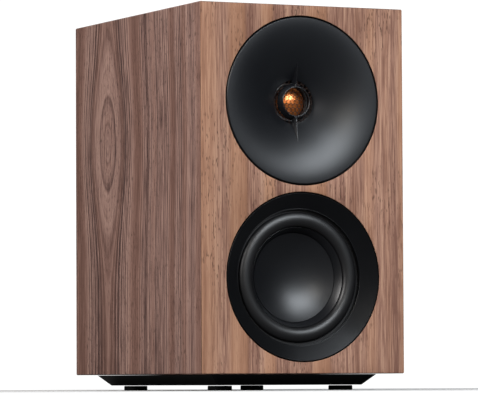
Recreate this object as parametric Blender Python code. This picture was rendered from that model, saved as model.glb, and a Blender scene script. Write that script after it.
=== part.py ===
"""Two-way bass-reflex bookshelf loudspeaker, built as separate bench parts.

Metres, +Z up. The baffle faces -Y. The origin is on the floor, under the middle of the cabinet.
Driving sizes below are in millimetres, and every mesh is scaled to metres when it is made.
Depths are measured from the front of the baffle, into the cabinet.
"""

import math

import bmesh
import bpy
from mathutils import Vector

MM = 0.001
GAP = 0.3

# Cabinet
WIDTH, DEPTH, HEIGHT = 180.0, 252.0, 294.0
FOOT_HEIGHT, PLINTH_HEIGHT = 4.0, 9.0
SHELL, BAFFLE, REAR = 12.0, 20.0, 15.0
MITRE_GAP = 0.2
FLOOR_OF_CABINET = FOOT_HEIGHT + PLINTH_HEIGHT
TOP = FLOOR_OF_CABINET + HEIGHT
FRONT, BACK = -DEPTH / 2, DEPTH / 2
OUTER = (Vector((-WIDTH / 2, FRONT, FLOOR_OF_CABINET)), Vector((WIDTH / 2, BACK, TOP)))
INNER = (OUTER[0] + Vector((SHELL, BAFFLE, SHELL)), OUTER[1] - Vector((SHELL, REAR, SHELL)))

# Base
PLINTH_INSET_TOP, PLINTH_INSET_BOTTOM, PLINTH_REARWARD = 16.5, 25.5, 10.0
FOOT_RADIUS, FOOT_X, FOOT_Y = 9.8, 54.0, 83.0

# Openings in the baffle
TRIM_RADIUS, REBATE_RADIUS = 67.0, 67.6
WOOFER_Z, TWEETER_Z = 90.0, 230.7
WAVEGUIDE_REBATE, WOOFER_REBATE = 6.3, 11.6
WAVEGUIDE_HOLE, WOOFER_HOLE = 50.0, 58.5

# Waveguide flare: depth(r) = THROAT_DEPTH * ((MOUTH - r) / (MOUTH - THROAT)) ** FLARE_POWER
MOUTH, THROAT, THROAT_DEPTH, FLARE_POWER = 66.6, 17.5, 17.0, 1.83
RING_FRONT, RING_BACK, RING_INNER, RING_OUTER = 11.6, 16.9, 11.4, 14.6
FIN_TIP, FIN_THICKNESS = 31.0, 1.1
GUARD_PITCH, GUARD_REACH, GUARD_THICKNESS, GUARD_WIRE = 3.7, 17.2, 0.6, 0.7
GUARD_DEPTH = 17.3

# Woofer
CONE_RIM, SEAM, BOWL_DEPTH = 40.0, 35.5, 27.0
ROLL_CREST, ROLL_CREST_DEPTH, ROLL_HALF = 46.3, 7.7, 6.1

# Fixings
WAVEGUIDE_SCREW_CIRCLE, WOOFER_SCREW_CIRCLE = 59.0, 63.0
SCREW_ANGLES = [math.radians(45 + 90 * i) for i in range(4)]

# Rear panel
PORT_Z, PORT_BORE, PORT_TUBE, PORT_FLANGE, PORT_LENGTH = 242.0, 22.0, 24.2, 35.0, 116.0
CUP_Z, CUP_WIDTH, CUP_HEIGHT, CUP_FLOOR = 92.0, 76.0, 56.0, 30.0
CUP_FLANGE = 8.0
POST_SPACING = 30.0
STUD_RADIUS, STUD_BORE, FLUTED_FROM = 2.1, 2.2, 5.0
CORNER_STEPS = 3

# Crossover
BOARD_TOP = 27.0 + GAP


def clear_scene():
    for item in list(bpy.data.objects):
        bpy.data.objects.remove(item, do_unlink=True)


def material(name, colour, roughness, metallic=0.0):
    made = bpy.data.materials.new(name)
    made.use_nodes = True
    shader = made.node_tree.nodes["Principled BSDF"]
    shader.inputs["Base Color"].default_value = (*colour, 1.0)
    shader.inputs["Roughness"].default_value = roughness
    shader.inputs["Metallic"].default_value = metallic
    return made


def add_object(name, bm, finish, origin=(0, 0, 0), smooth=True):
    """Makes an object of a bmesh in millimetres that is drawn around the origin it is given."""
    bmesh.ops.recalc_face_normals(bm, faces=bm.faces)
    if bm.calc_volume(signed=True) < 0:
        bmesh.ops.reverse_faces(bm, faces=bm.faces)
    bmesh.ops.scale(bm, vec=(MM, MM, MM), verts=bm.verts)
    mesh = bpy.data.meshes.new(name)
    bm.to_mesh(mesh)
    bm.free()
    if smooth:
        mesh.shade_smooth()
        mesh.set_sharp_from_angle(angle=math.radians(32))
    made = bpy.data.objects.new(name, mesh)
    made.location = Vector(origin) * MM
    bpy.context.scene.collection.objects.link(made)
    if finish:
        mesh.materials.append(finish)
    return made


def skin(bm, rows, closed):
    """Skins neighbouring rows of points. A row of one point is a pole. Open ends get a cap."""
    made = [[bm.verts.new(point) for point in row] for row in rows]
    pairs = list(zip(made, made[1:]))
    if closed:
        pairs.append((made[-1], made[0]))
    for first, second in pairs:
        count = max(len(first), len(second))
        for i in range(count):
            corners = [first[i % len(first)], first[(i + 1) % len(first)]]
            corners += [second[(i + 1) % len(second)], second[i % len(second)]]
            if len(first) > 1 or len(second) > 1:
                bm.faces.new(dict.fromkeys(corners))
    if not closed:
        for row in (made[0], made[-1]):
            if len(row) > 2:
                bm.faces.new(row)


def circle_row(radius, depth, count, centre=(0, 0), flute=0.0):
    if radius == 0:
        return [Vector((centre[0], depth, centre[1]))]
    row = []
    for i in range(count):
        angle = 2 * math.pi * (i + 0.5) / count
        reach = radius - (flute if i % 2 and radius > FLUTED_FROM else 0.0)
        across, up = centre[0] + reach * math.cos(angle), centre[1] + reach * math.sin(angle)
        row.append(Vector((across, depth, up)))
    return row


def turned(profile, count, flute=0.0):
    """A bmesh turned about +Y from (radius, depth) points. A profile without a pole is closed on itself."""
    bm = bmesh.new()
    rows = [circle_row(radius, depth, count, flute=flute) for radius, depth in profile]
    ends_on_axis = len(rows[0]) == 1 or len(rows[-1]) == 1
    skin(bm, rows, closed=not ends_on_axis)
    return bm


def turned_object(name, profile, finish, origin, count=32, flute=0.0):
    return add_object(name, turned(profile, count, flute=flute), finish, origin)


def block(bm, low, high):
    corners = []
    for x in (low[0], high[0]):
        for y in (low[1], high[1]):
            corners += [Vector((x, y, z)) for z in (low[2], high[2])]
    hexahedron(bm, corners)


def hexahedron(bm, corners):
    """Eight corners in the order x, then y, then z, each low before high."""
    verts = [bm.verts.new(corner) for corner in corners]
    for face in ((0, 1, 3, 2), (4, 6, 7, 5), (0, 4, 5, 1), (2, 3, 7, 6), (0, 2, 6, 4), (1, 5, 7, 3)):
        bm.faces.new([verts[i] for i in face])


def box_object(name, low, high, finish, bevel=0.0):
    bm = bmesh.new()
    block(bm, low, high)
    made = add_object(name, bm, finish, smooth=False)
    if bevel:
        rounding = made.modifiers.new("rounding", "BEVEL")
        rounding.width = bevel * MM
        rounding.segments = 2
    return made


def cutter(name, bm, origin=(0, 0, 0)):
    made = add_object(name, bm, None, origin, smooth=False)
    made.hide_render = True
    made.display_type = "WIRE"
    return made


def combine(target, other, operation="DIFFERENCE"):
    step = target.modifiers.new(other.name, "BOOLEAN")
    step.operation = operation
    step.solver = "EXACT"
    step.object = other


def join_turned(profiles, count):
    """One bmesh of several turned shapes that don't touch: (profile, (x, z)) pairs."""
    whole = bmesh.new()
    for profile, centre in profiles:
        rows = [circle_row(radius, depth, count, centre) for radius, depth in profile]
        skin(whole, rows, closed=len(rows[0]) > 1 and len(rows[-1]) > 1)
    return whole


def screw_places(circle, height):
    return [(circle * math.cos(a), height + circle * math.sin(a)) for a in SCREW_ANGLES]


def hole(radius, start, end):
    return [(0, start), (radius, start), (radius, end), (0, end)]


# ---------------------------------------------------------------- cabinet


def panel(name, axis, side, finish):
    """One mitred board: its outer face is the cabinet's, its inner face is the cavity's."""
    others = [i for i in range(3) if i != axis]
    corners = []
    for i in range(8):
        picks = ((i >> 2) & 1, (i >> 1) & 1, i & 1)
        box = OUTER if picks[axis] == side else INNER
        corner = Vector()
        corner[axis] = box[side][axis]
        for other in others:
            inward = MITRE_GAP if picks[other] == 0 else -MITRE_GAP
            corner[other] = box[picks[other]][other] + inward
        corners.append(corner)
    bm = bmesh.new()
    hexahedron(bm, corners)
    return add_object(name, bm, finish, smooth=False)


def front_baffle(finish):
    board = panel("front_baffle", 1, 0, finish)
    stepped = [
        (
            [(0, -2), (REBATE_RADIUS, -2), (REBATE_RADIUS, rebate), (through, rebate), (through, 24), (0, 24)],
            (0, z),
        )
        for rebate, through, z in (
            (WAVEGUIDE_REBATE, WAVEGUIDE_HOLE, TWEETER_Z),
            (WOOFER_REBATE, WOOFER_HOLE, WOOFER_Z),
        )
    ]
    combine(board, cutter("baffle_openings", join_turned(stepped, 48), (0, FRONT, 0)))
    holes = [(hole(1.9, 4, 22), place) for place in screw_places(WAVEGUIDE_SCREW_CIRCLE, TWEETER_Z)]
    holes += [(hole(1.8, 10, 18.8), place) for place in screw_places(WOOFER_SCREW_CIRCLE, WOOFER_Z)]
    combine(board, cutter("baffle_screw_holes", join_turned(holes, 8), (0, FRONT, 0)))


def rear_panel(finish):
    board = panel("rear_panel", 1, 1, finish)
    port = [(0, 2), (PORT_FLANGE + 0.4, 2), (PORT_FLANGE + 0.4, -2.8), (PORT_TUBE + 0.6, -2.8)]
    port += [(PORT_TUBE + 0.6, -20), (0, -20)]
    combine(board, cutter("port_opening", turned(port, 40), (0, BACK, PORT_Z)))
    opening = bmesh.new()
    half_w, half_h = CUP_WIDTH / 2 + 0.4, CUP_HEIGHT / 2 + 0.4
    rim_w, rim_h = half_w + CUP_FLANGE, half_h + CUP_FLANGE
    rows = [rounded_row(w, h, r, y) for w, h, r, y in ((rim_w, rim_h, 8.4, 2), (rim_w, rim_h, 8.4, -2.6))]
    rows += [rounded_row(half_w, half_h, 5.4, y) for y in (-2.6, -20)]
    skin(opening, rows, closed=False)
    combine(board, cutter("cup_opening", opening, (0, BACK, CUP_Z)))


def window_brace(finish):
    low = (INNER[0].x + GAP, INNER[0].y + GAP, 154)
    high = (INNER[1].x - GAP, INNER[1].y - GAP, 166)
    brace = box_object("window_brace", low, high, finish)
    windows = bmesh.new()
    for y_low, y_high in ((-82, -6), (16, 92)):
        block(windows, (-58, y_low, 150), (58, y_high, 170))
    combine(brace, cutter("brace_windows", windows))


def damping(finish):
    for name, x_low, x_high in (("damping_left", -77.5, -60), ("damping_right", 60, 77.5)):
        box_object(name, (x_low, -60, 29), (x_high, 88, 148), finish, bevel=5)


def base_plinth(finish):
    low, high = FOOT_HEIGHT + GAP / 2, FLOOR_OF_CABINET - GAP
    corners = []
    for i in range(8):
        sign = [1 if (i >> shift) & 1 else -1 for shift in (2, 1, 0)]
        inset = PLINTH_INSET_TOP if sign[2] > 0 else PLINTH_INSET_BOTTOM
        level = high if sign[2] > 0 else low
        rearward = PLINTH_REARWARD if sign[1] > 0 else 0.0
        corners.append(Vector((sign[0] * (WIDTH / 2 - inset), sign[1] * (DEPTH / 2 - inset) + rearward, level)))
    bm = bmesh.new()
    hexahedron(bm, corners)
    add_object("base_plinth", bm, finish, smooth=False)


def feet(finish):
    rows = [(0, 0), (FOOT_RADIUS - 0.6, 0), (FOOT_RADIUS, 0.6), (FOOT_RADIUS, 3.8), (0, 3.8)]
    places = [(x, y) for y in (-FOOT_Y, FOOT_Y) for x in (-FOOT_X, FOOT_X)]
    for number, (x, y) in enumerate(places, 1):
        bm = turned(rows, 24)
        for vert in bm.verts:
            vert.co = Vector((vert.co.x, -vert.co.z, vert.co.y))
        add_object(f"foot_{number}", bm, finish, (x, y, 0))


# ---------------------------------------------------------------- tweeter


def flare(radius):
    return THROAT_DEPTH * ((MOUTH - radius) / (MOUTH - THROAT)) ** FLARE_POWER


def waveguide(finish):
    radii = [MOUTH - (MOUTH - THROAT) * (i / 9) ** 0.9 for i in range(10)]
    front = [(radius, flare(radius)) for radius in radii]
    back = [(21.9, 17.0), (21.9, 19.0), (40, 19), (40, 12.5), (49.4, 6)]
    back += [(TRIM_RADIUS, 6), (TRIM_RADIUS, 0.4)]
    horn = turned_object("waveguide", front + back, finish, (0, FRONT, TWEETER_Z), 48)
    places = [(x, z - TWEETER_Z) for x, z in screw_places(WAVEGUIDE_SCREW_CIRCLE, TWEETER_Z)]
    holes = [(hole(1.9, 2.6, 8), place) for place in places]
    holes += [(hole(1.2, 13, 21), place) for place in faceplate_screw_places()]
    combine(horn, cutter("waveguide_pilot_holes", join_turned(holes, 8), (0, FRONT, TWEETER_Z)))


def faceplate_screw_places():
    return [(33.5 * math.cos(a), 33.5 * math.sin(a)) for a in (math.radians(180 * i) for i in range(2))]


def phase_ring(finish):
    """A short flared ring that two upright blades hold in front of the dome."""
    profile = [(RING_INNER, RING_FRONT), (RING_INNER + 0.4, RING_FRONT - 0.2), (RING_INNER + 0.8, RING_FRONT)]
    profile += [(RING_OUTER, RING_BACK), (RING_OUTER - 0.9, RING_BACK), (RING_INNER, RING_FRONT + 0.7)]
    ring = turned_object("phase_ring", profile, finish, (0, FRONT, TWEETER_Z), 36)
    blades = bmesh.new()
    root = RING_INNER + 0.8
    radii = [FIN_TIP - (FIN_TIP - root) * i / 5 for i in range(6)]
    tip_depth = flare(FIN_TIP) - GAP - 0.5
    for side in (-1, 1):
        front = [
            (radius, tip_depth + (RING_FRONT + 0.1 - tip_depth) * (FIN_TIP - radius) / (FIN_TIP - root))
            for radius in radii
        ]
        wall = [(radius, min(flare(max(radius, THROAT)) - GAP, RING_BACK - 0.2)) for radius in reversed(radii)]
        outline = front + wall
        rows = []
        for x in (-FIN_THICKNESS / 2, FIN_THICKNESS / 2):
            rows.append([Vector((x, depth, side * radius)) for radius, depth in outline])
        skin(blades, rows, closed=False)
    combine(ring, cutter("phase_blades", blades, (0, FRONT, TWEETER_Z)), "UNION")


def guard_centres():
    """Centres of the guard's cells, on a hexagonal lattice."""
    found = []
    for row in range(-6, 7):
        for column in range(-6, 7):
            x = GUARD_PITCH * (column + (row % 2) / 2)
            z = GUARD_PITCH * row * math.sqrt(3) / 2
            if math.hypot(x, z) <= GUARD_REACH:
                found.append((x, z))
    return found


def tweeter_guard(finish):
    """A hexagonal mesh. Every cell is a ring of six quads, and the cells share their outer corners."""
    flat = bmesh.new()
    corner_reach = GUARD_PITCH / math.sqrt(3)
    hole_reach = corner_reach - GUARD_WIRE / math.sqrt(3)
    shared = {}
    for x, z in guard_centres():
        outer, inner = [], []
        for i in range(6):
            angle = math.radians(30 + 60 * i)
            direction = Vector((math.cos(angle), 0, math.sin(angle)))
            corner = Vector((x, 0, z)) + direction * corner_reach
            key = (round(corner.x, 3), round(corner.z, 3))
            if key not in shared:
                shared[key] = flat.verts.new(corner)
            outer.append(shared[key])
            inner.append(flat.verts.new(Vector((x, 0, z)) + direction * hole_reach))
        for i in range(6):
            j = (i + 1) % 6
            flat.faces.new((outer[i], outer[j], inner[j], inner[i]))
    whole = bmesh.ops.extrude_face_region(flat, geom=flat.faces[:] + flat.edges[:] + flat.verts[:])
    moved = [item for item in whole["geom"] if isinstance(item, bmesh.types.BMVert)]
    bmesh.ops.translate(flat, vec=(0, GUARD_THICKNESS, 0), verts=moved)
    add_object("tweeter_guard", flat, finish, (0, FRONT + GUARD_DEPTH, TWEETER_Z), smooth=False)


def dome_arc(rim, rise, rim_depth, count):
    """Points of a spherical cap from its rim to the axis, bulging towards the front."""
    radius = (rim * rim + rise * rise) / (2 * rise)
    points = []
    for i in range(count + 1):
        reach = rim * (1 - i / count)
        points.append((reach, rim_depth - (math.sqrt(radius**2 - reach**2) - (radius - rise))))
    return points


def half_roll(centre, half, crest, base, thickness, count):
    """Outer and inner points of a half-roll surround, from the outer foot to the inner one and back."""
    outer, inner = [], []
    for i in range(count + 1):
        angle = math.pi * i / count
        outer.append((centre + half * math.cos(angle), base - (base - crest) * math.sin(angle)))
        shrunk = half - thickness
        inner.append((centre + shrunk * math.cos(angle), base - (base - crest - thickness) * math.sin(angle)))
    return outer, inner


def tweeter_unit(m):
    place = (0, FRONT, TWEETER_Z)
    front = dome_arc(12.8, 5.4, 24.3, 4)
    back = dome_arc(12.8, 5.4, 24.7, 4)
    turned_object("tweeter_dome", [*front, *reversed(back)], m["dome"], place, 24)
    outer, inner = half_roll(15.0, 1.9, 22.6, 24.2, 0.3, 3)
    profile = [(20.3, 24.2), *outer, (13.1, 24.6), *reversed(inner), (17.3, 24.6), (20.3, 24.6)]
    turned_object("tweeter_surround", profile, m["rubber"], place, 24)
    coil = [(12.3, 25.0), (12.75, 25.0), (12.75, 30.0), (12.3, 30.0)]
    turned_object("tweeter_voice_coil", coil, m["copper"], place, 24)
    plate = [(17.3, 18.3), (21.4, 18.3), (21.4, 19.3), (38, 19.3), (38, 24.8), (20.7, 24.8)]
    plate += [(20.7, 23.9), (17.3, 23.9)]
    face = turned_object("tweeter_faceplate", plate, m["plastic"], place, 32)
    holes = [(hole(1.4, 18, 26), spot) for spot in faceplate_screw_places()]
    combine(face, cutter("faceplate_holes", join_turned(holes, 8), place))
    for number, (x, z) in enumerate(faceplate_screw_places(), 1):
        screw = [(0, 14.0), (0.9, 14.6), (0.9, 25.1), (2.3, 25.1), (2.3, 26.6), (0, 26.6)]
        turned_object(f"tweeter_screw_{number}", screw, m["steel"], (x, FRONT, TWEETER_Z + z), 8)
    top_plate = [(13.3, 25.2), (29.5, 25.2), (29.5, 28.2), (13.3, 28.2)]
    turned_object("tweeter_top_plate", top_plate, m["steel"], place, 24)
    turned_object("tweeter_magnet", [(16, 28.5), (30, 28.5), (30, 38), (16, 38)], m["ferrite"], place, 24)
    yoke = [(3, 25.4), (11.8, 25.4), (11.8, 38.3), (29, 38.3), (29, 42), (3, 42)]
    turned_object("tweeter_yoke", yoke, m["steel"], place, 24)
    chamber = [(0, 57), (20, 57), (22, 55), (22, 42.3), (20.5, 42.3), (20.5, 54.5), (19, 55.5), (0, 55.5)]
    turned_object("tweeter_rear_chamber", chamber, m["plastic"], place, 24)


def waveguide_screws(finish):
    profile = [(0, 3.0), (1.5, 3.8), (1.5, 20.3), (3.3, 20.3), (3.3, 21.6), (0, 22.4)]
    for number, (x, z) in enumerate(screw_places(WAVEGUIDE_SCREW_CIRCLE, TWEETER_Z), 1):
        turned_object(f"waveguide_screw_{number}", profile, finish, (x, FRONT, z), 8)


# ---------------------------------------------------------------- woofer


def woofer_trim(finish):
    profile = [(66.6, 0.3), (60.4, 4.3), (54.2, 8.3), (54.2, 10.3), (55.9, 10.3), (59.0, 8.1)]
    profile += [(TRIM_RADIUS, 8.1), (TRIM_RADIUS, 0.7)]
    turned_object("woofer_trim_ring", profile, finish, (0, FRONT, WOOFER_Z), 48)


def woofer_basket(finish):
    front = [(66.7, 8.4), (59.4, 8.4), (56.4, 10.9), (56.4, 12.8), (50.5, 12.8), (38.6, 33.4), (38.6, 35.0)]
    front += [(33.0, 35.0), (33.0, 36.2), (37.0, 36.2), (37.0, 41.4), (20.5, 41.4)]
    back = [(20.5, 42.7), (38.8, 42.7), (40.6, 34.2), (52.4, 14.6), (58.0, 14.6), (58.0, 10.4), (66.7, 10.4)]
    basket = turned_object("woofer_basket", front + back, finish, (0, FRONT, WOOFER_Z), 32)
    windows = bmesh.new()
    for i in range(6):
        angle = math.radians(60 * i)
        along = Vector((math.cos(angle), 0, math.sin(angle)))
        across = Vector((-math.sin(angle), 0, math.cos(angle)))
        corners = [
            along * reach + Vector((0, depth, 0)) + across * shift
            for reach in (32, 60)
            for depth in (17.5, 31.0)
            for shift in (-13, 13)
        ]
        hexahedron(windows, corners)
    combine(basket, cutter("basket_windows", windows, (0, FRONT, WOOFER_Z)))
    places = [(x, z - WOOFER_Z) for x, z in screw_places(WOOFER_SCREW_CIRCLE, WOOFER_Z)]
    sunk = [(0, 8.0), (3.6, 8.0), (3.6, 8.6), (1.8, 10.0), (1.8, 11.0), (0, 11.0)]
    holes = join_turned([(sunk, place) for place in places], 8)
    combine(basket, cutter("basket_screw_holes", holes, (0, FRONT, WOOFER_Z)))


def woofer_screws(finish):
    profile = [(0, 8.7), (3.1, 8.7), (1.4, 10.2), (1.4, 17.8), (0, 18.5)]
    for number, (x, z) in enumerate(screw_places(WOOFER_SCREW_CIRCLE, WOOFER_Z), 1):
        turned_object(f"woofer_screw_{number}", profile, finish, (x, FRONT, z), 8)


def woofer_gasket(finish):
    place = (0, FRONT, WOOFER_Z)
    section = [(59, 10.7), (66.6, 10.7), (66.6, 11.3), (59, 11.3)]
    gasket = turned_object("woofer_gasket", section, finish, place, 28)
    places = [(x, z - WOOFER_Z) for x, z in screw_places(WOOFER_SCREW_CIRCLE, WOOFER_Z)]
    combine(gasket, cutter("gasket_holes", join_turned([(hole(1.8, 10, 12), p) for p in places], 8), place))


def woofer_moving(m):
    place = (0, FRONT, WOOFER_Z)
    rim = [(CONE_RIM, 11.3), (SEAM + 0.4, 17.2), (SEAM + 0.4, 18.9)]
    rim += [(30, 23.2), (24, 27.6), (18, 31.4), (16.8, 32.6)]
    back = [(16.8, 34.2), (18.4, 32.9), (24.6, 28.7), (30.8, 24.3)]
    back += [(36.9, 19.3), (36.9, 17.5), (CONE_RIM, 12.9)]
    turned_object("woofer_cone", rim + back, m["cone"], place, 40)
    bowl = [(reach, 34.8 - depth) for reach, depth in dome_arc(SEAM, BOWL_DEPTH - 17.4, 17.4, 5)]
    under = [(reach, depth + 0.9) for reach, depth in reversed(bowl)]
    turned_object("woofer_dust_bowl", [*bowl, *under], m["cone"], place, 40)
    coil = [(15.9, 32.4), (16.4, 32.4), (16.4, 43.6), (17.0, 43.6), (17.0, 52.0), (15.9, 52.0)]
    turned_object("woofer_voice_coil", coil, m["copper"], place, 28)


def woofer_suspension(m):
    place = (0, FRONT, WOOFER_Z)
    outer, inner = half_roll(ROLL_CREST, ROLL_HALF - 0.1, ROLL_CREST_DEPTH, 11.7, 1.0, 5)
    profile = [(56.0, 11.6), *outer, (40.4, 12.5), *reversed(inner), (51.9, 12.5), (56.0, 12.5)]
    turned_object("woofer_surround", profile, m["rubber"], place, 40)
    radii = [32.6 - i * 15.8 / 5 for i in range(6)]
    front = [(radius, 36.6 + 0.9 * math.cos(math.pi * i)) for i, radius in enumerate(radii)]
    back = [(radius, depth + 0.5) for radius, depth in reversed(front)]
    turned_object("woofer_spider", front + back, m["spider"], place, 24)


def woofer_motor(m):
    place = (0, FRONT, WOOFER_Z)
    turned_object("woofer_top_plate", [(17.6, 43), (38, 43), (38, 48), (17.6, 48)], m["steel"], place, 28)
    turned_object("woofer_magnet", [(20, 48.3), (40, 48.3), (40, 60), (20, 60)], m["ferrite"], place, 28)
    yoke = [(4, 42), (15.3, 42), (15.3, 60.3), (37.5, 60.3), (36.5, 66), (4, 66)]
    turned_object("woofer_yoke", yoke, m["steel"], place, 28)


# ---------------------------------------------------------------- rear fittings


def port_tube(finish):
    length = PORT_LENGTH
    profile = [(PORT_FLANGE, -2.5), (PORT_FLANGE, 0), (31.0, 0), (27.2, -1.6), (24.4, -5), (22.8, -10)]
    profile += [(PORT_BORE, -17), (PORT_BORE, -length + 8), (24.2, -length + 1.4), (26.0, -length), (26.0, -length + 2.4)]
    profile += [(PORT_TUBE, -length + 9), (PORT_TUBE, -2.5)]
    turned_object("port_tube", profile, finish, (0, BACK, PORT_Z), 32)


def rounded_row(half_width, half_height, corner, depth):
    """A rounded rectangle of points that runs round +Y at a depth."""
    row = []
    for quarter, (sx, sz) in enumerate(((1, 1), (-1, 1), (-1, -1), (1, -1))):
        middle = Vector((sx * (half_width - corner), depth, sz * (half_height - corner)))
        for i in range(CORNER_STEPS + 1):
            angle = math.pi / 2 * (quarter + i / CORNER_STEPS)
            row.append(middle + corner * Vector((math.cos(angle), 0, math.sin(angle))))
    return row


def terminal_cup(finish):
    """A moulded tray let into the rear panel, so nothing stands proud of the cabinet."""
    half_w, half_h = CUP_WIDTH / 2, CUP_HEIGHT / 2
    wide_w, wide_h = half_w + CUP_FLANGE, half_h + CUP_FLANGE
    floor = -CUP_FLOOR
    rows = [rounded_row(half_w - 1.5, half_h - 1.5, 4, floor - 2.5), rounded_row(half_w, half_h, 5, floor)]
    rows += [rounded_row(half_w, half_h, 5, -2.3), rounded_row(wide_w, wide_h, 8, -2.3)]
    rows += [rounded_row(wide_w, wide_h, 8, -0.6), rounded_row(wide_w - 0.6, wide_h - 0.6, 7.4, 0)]
    rows += [rounded_row(half_w - 1.4, half_h - 1.4, 4.4, 0), rounded_row(half_w - 4.5, half_h - 4.5, 4, floor)]
    bm = bmesh.new()
    skin(bm, rows, closed=False)
    cup = add_object("terminal_cup", bm, finish, (0, BACK, CUP_Z))
    holes = [(hole(2.5, floor - 4, floor + 2), (x, 0)) for x in (-POST_SPACING / 2, POST_SPACING / 2)]
    combine(cup, cutter("post_holes", join_turned(holes, 12), (0, BACK, CUP_Z)))


def binding_posts(m):
    """Stud, loose clamping washer and screwed knob of each terminal, drawn outwards from the cup's floor."""
    for colour, x in (("red", POST_SPACING / 2), ("black", -POST_SPACING / 2)):
        place = (x, BACK - CUP_FLOOR, CUP_Z)
        stud = [(0, -9), (STUD_RADIUS, -9), (STUD_RADIUS, 0.3), (5.2, 0.3), (5.2, 2.6), (STUD_RADIUS, 2.6)]
        stud += [(STUD_RADIUS, 13.5), (0, 14.5)]
        turned_object(f"{colour}_stud", stud, m["gold"], place, 12)
        washer = [(STUD_BORE, 2.9), (6.0, 2.9), (6.0, 3.9), (STUD_BORE, 3.9)]
        turned_object(f"{colour}_washer", washer, m["gold"], place, 16)
        knob = [(STUD_BORE, 4.2), (6.4, 4.2), (6.8, 5.0), (6.8, 18.2), (6.0, 19.4)]
        knob += [(3.0, 19.4), (STUD_BORE, 18.4)]
        turned_object(f"{colour}_knob", knob, m[colour], place, 24, flute=0.5)


# ---------------------------------------------------------------- crossover and leads


def crossover(m):
    box_object("crossover_board", (-45, 4, 25.3), (45, 78, 27), m["board"])
    coil = turned([(8, 0), (17, 0), (17, 13), (8, 13)], 24)
    for vert in coil.verts:
        vert.co = Vector((vert.co.x, -vert.co.z, vert.co.y))
    add_object("crossover_inductor", coil, m["copper"], (-23, 42, BOARD_TOP))
    can = turned([(0, -17), (8.4, -17), (9, -16.4), (9, 16.4), (8.4, 17), (0, 17)], 20)
    add_object("crossover_capacitor", can, m["capacitor"], (12, 30, BOARD_TOP + 9))
    box_object("crossover_resistor", (28, 14, BOARD_TOP), (37, 62, BOARD_TOP + 8), m["ceramic"], bevel=0.8)


def smooth_route(points, spacing):
    """Points about a spacing apart on a Catmull-Rom curve through the route's own points."""
    ends = [2 * points[0] - points[1], *points, 2 * points[-1] - points[-2]]
    route = []
    for a, b, c, d in zip(ends, ends[1:], ends[2:], ends[3:]):
        steps = max(2, round((c - b).length / spacing))
        for i in range(steps):
            t = i / steps
            route.append(
                0.5 * (2 * b + (c - a) * t + (2 * a - 5 * b + 4 * c - d) * t**2 + (3 * b - a - 3 * c + d) * t**3)
            )
    return [*route, points[-1]]


def lead(name, points, finish):
    """A pair of wires in one sleeve, clipped along its whole way."""
    curve = bpy.data.curves.new(name, "CURVE")
    curve.dimensions = "3D"
    curve.bevel_depth = 1.5 * MM
    curve.bevel_resolution = 1
    curve.use_fill_caps = True
    route = smooth_route([Vector(point) for point in points], 12)
    spline = curve.splines.new("POLY")
    spline.points.add(len(route) - 1)
    for target, point in zip(spline.points, route):
        target.co = (*(point * MM), 1)
    curve.materials.append(finish)
    bpy.context.scene.collection.objects.link(bpy.data.objects.new(name, curve))


def leads(finish):
    lead("woofer_lead", [(0, 3, 28.4), (0, -30, 27.6), (0, -75, 28.2), (0, -95, 33), (8, -101, 38.5)], finish)
    upward = [(41, 20, 29.2), (49, 0, 45), (52, -20, 100), (51, -24, 160), (49, -50, 205)]
    lead("tweeter_lead", [*upward, (44, -88, 226), (40.2, -103, 231)], finish)


def main():
    clear_scene()
    m = {
        "walnut": material("walnut_veneer", (0.30, 0.17, 0.11), 0.45),
        "fibreboard": material("fibreboard", (0.42, 0.30, 0.19), 0.8),
        "plastic": material("black_plastic", (0.02, 0.02, 0.023), 0.42),
        "trim": material("satin_black_trim", (0.018, 0.018, 0.02), 0.32),
        "rubber": material("black_rubber", (0.015, 0.015, 0.016), 0.6),
        "cone": material("black_cone", (0.022, 0.022, 0.025), 0.38),
        "dome": material("copper_dome", (0.72, 0.30, 0.08), 0.25, 0.9),
        "mesh": material("black_wire_mesh", (0.02, 0.02, 0.02), 0.4, 0.6),
        "copper": material("enamelled_copper", (0.65, 0.28, 0.12), 0.35, 0.9),
        "steel": material("zinc_plated_steel", (0.6, 0.6, 0.62), 0.35, 1.0),
        "ferrite": material("ferrite", (0.05, 0.05, 0.055), 0.55),
        "black_metal": material("black_coated_steel", (0.02, 0.02, 0.02), 0.45, 0.6),
        "gold": material("gold_plated_brass", (0.80, 0.58, 0.22), 0.25, 1.0),
        "red": material("red_plastic", (0.55, 0.02, 0.02), 0.3),
        "black": material("black_knob_plastic", (0.02, 0.02, 0.02), 0.3),
        "spider": material("resin_treated_cloth", (0.62, 0.42, 0.12), 0.85),
        "wadding": material("polyester_wadding", (0.75, 0.75, 0.73), 0.95),
        "board": material("circuit_board", (0.05, 0.20, 0.09), 0.5),
        "capacitor": material("capacitor_sleeve", (0.05, 0.08, 0.30), 0.35),
        "ceramic": material("ceramic_resistor", (0.80, 0.78, 0.72), 0.7),
        "gasket": material("foam_gasket", (0.03, 0.03, 0.03), 0.95),
        "lead": material("lead_sleeve", (0.03, 0.03, 0.03), 0.5),
    }
    front_baffle(m["walnut"])
    rear_panel(m["walnut"])
    for name, axis, side in (("left_side_panel", 0, 0), ("right_side_panel", 0, 1), ("bottom_panel", 2, 0)):
        panel(name, axis, side, m["walnut"])
    panel("top_panel", 2, 1, m["walnut"])
    window_brace(m["fibreboard"])
    damping(m["wadding"])
    base_plinth(m["trim"])
    feet(m["rubber"])
    waveguide(m["plastic"])
    phase_ring(m["plastic"])
    tweeter_guard(m["mesh"])
    tweeter_unit(m)
    waveguide_screws(m["steel"])
    woofer_trim(m["trim"])
    woofer_basket(m["black_metal"])
    woofer_screws(m["steel"])
    woofer_gasket(m["gasket"])
    woofer_moving(m)
    woofer_suspension(m)
    woofer_motor(m)
    port_tube(m["plastic"])
    terminal_cup(m["plastic"])
    binding_posts(m)
    crossover(m)
    leads(m["lead"])


main()
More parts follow.
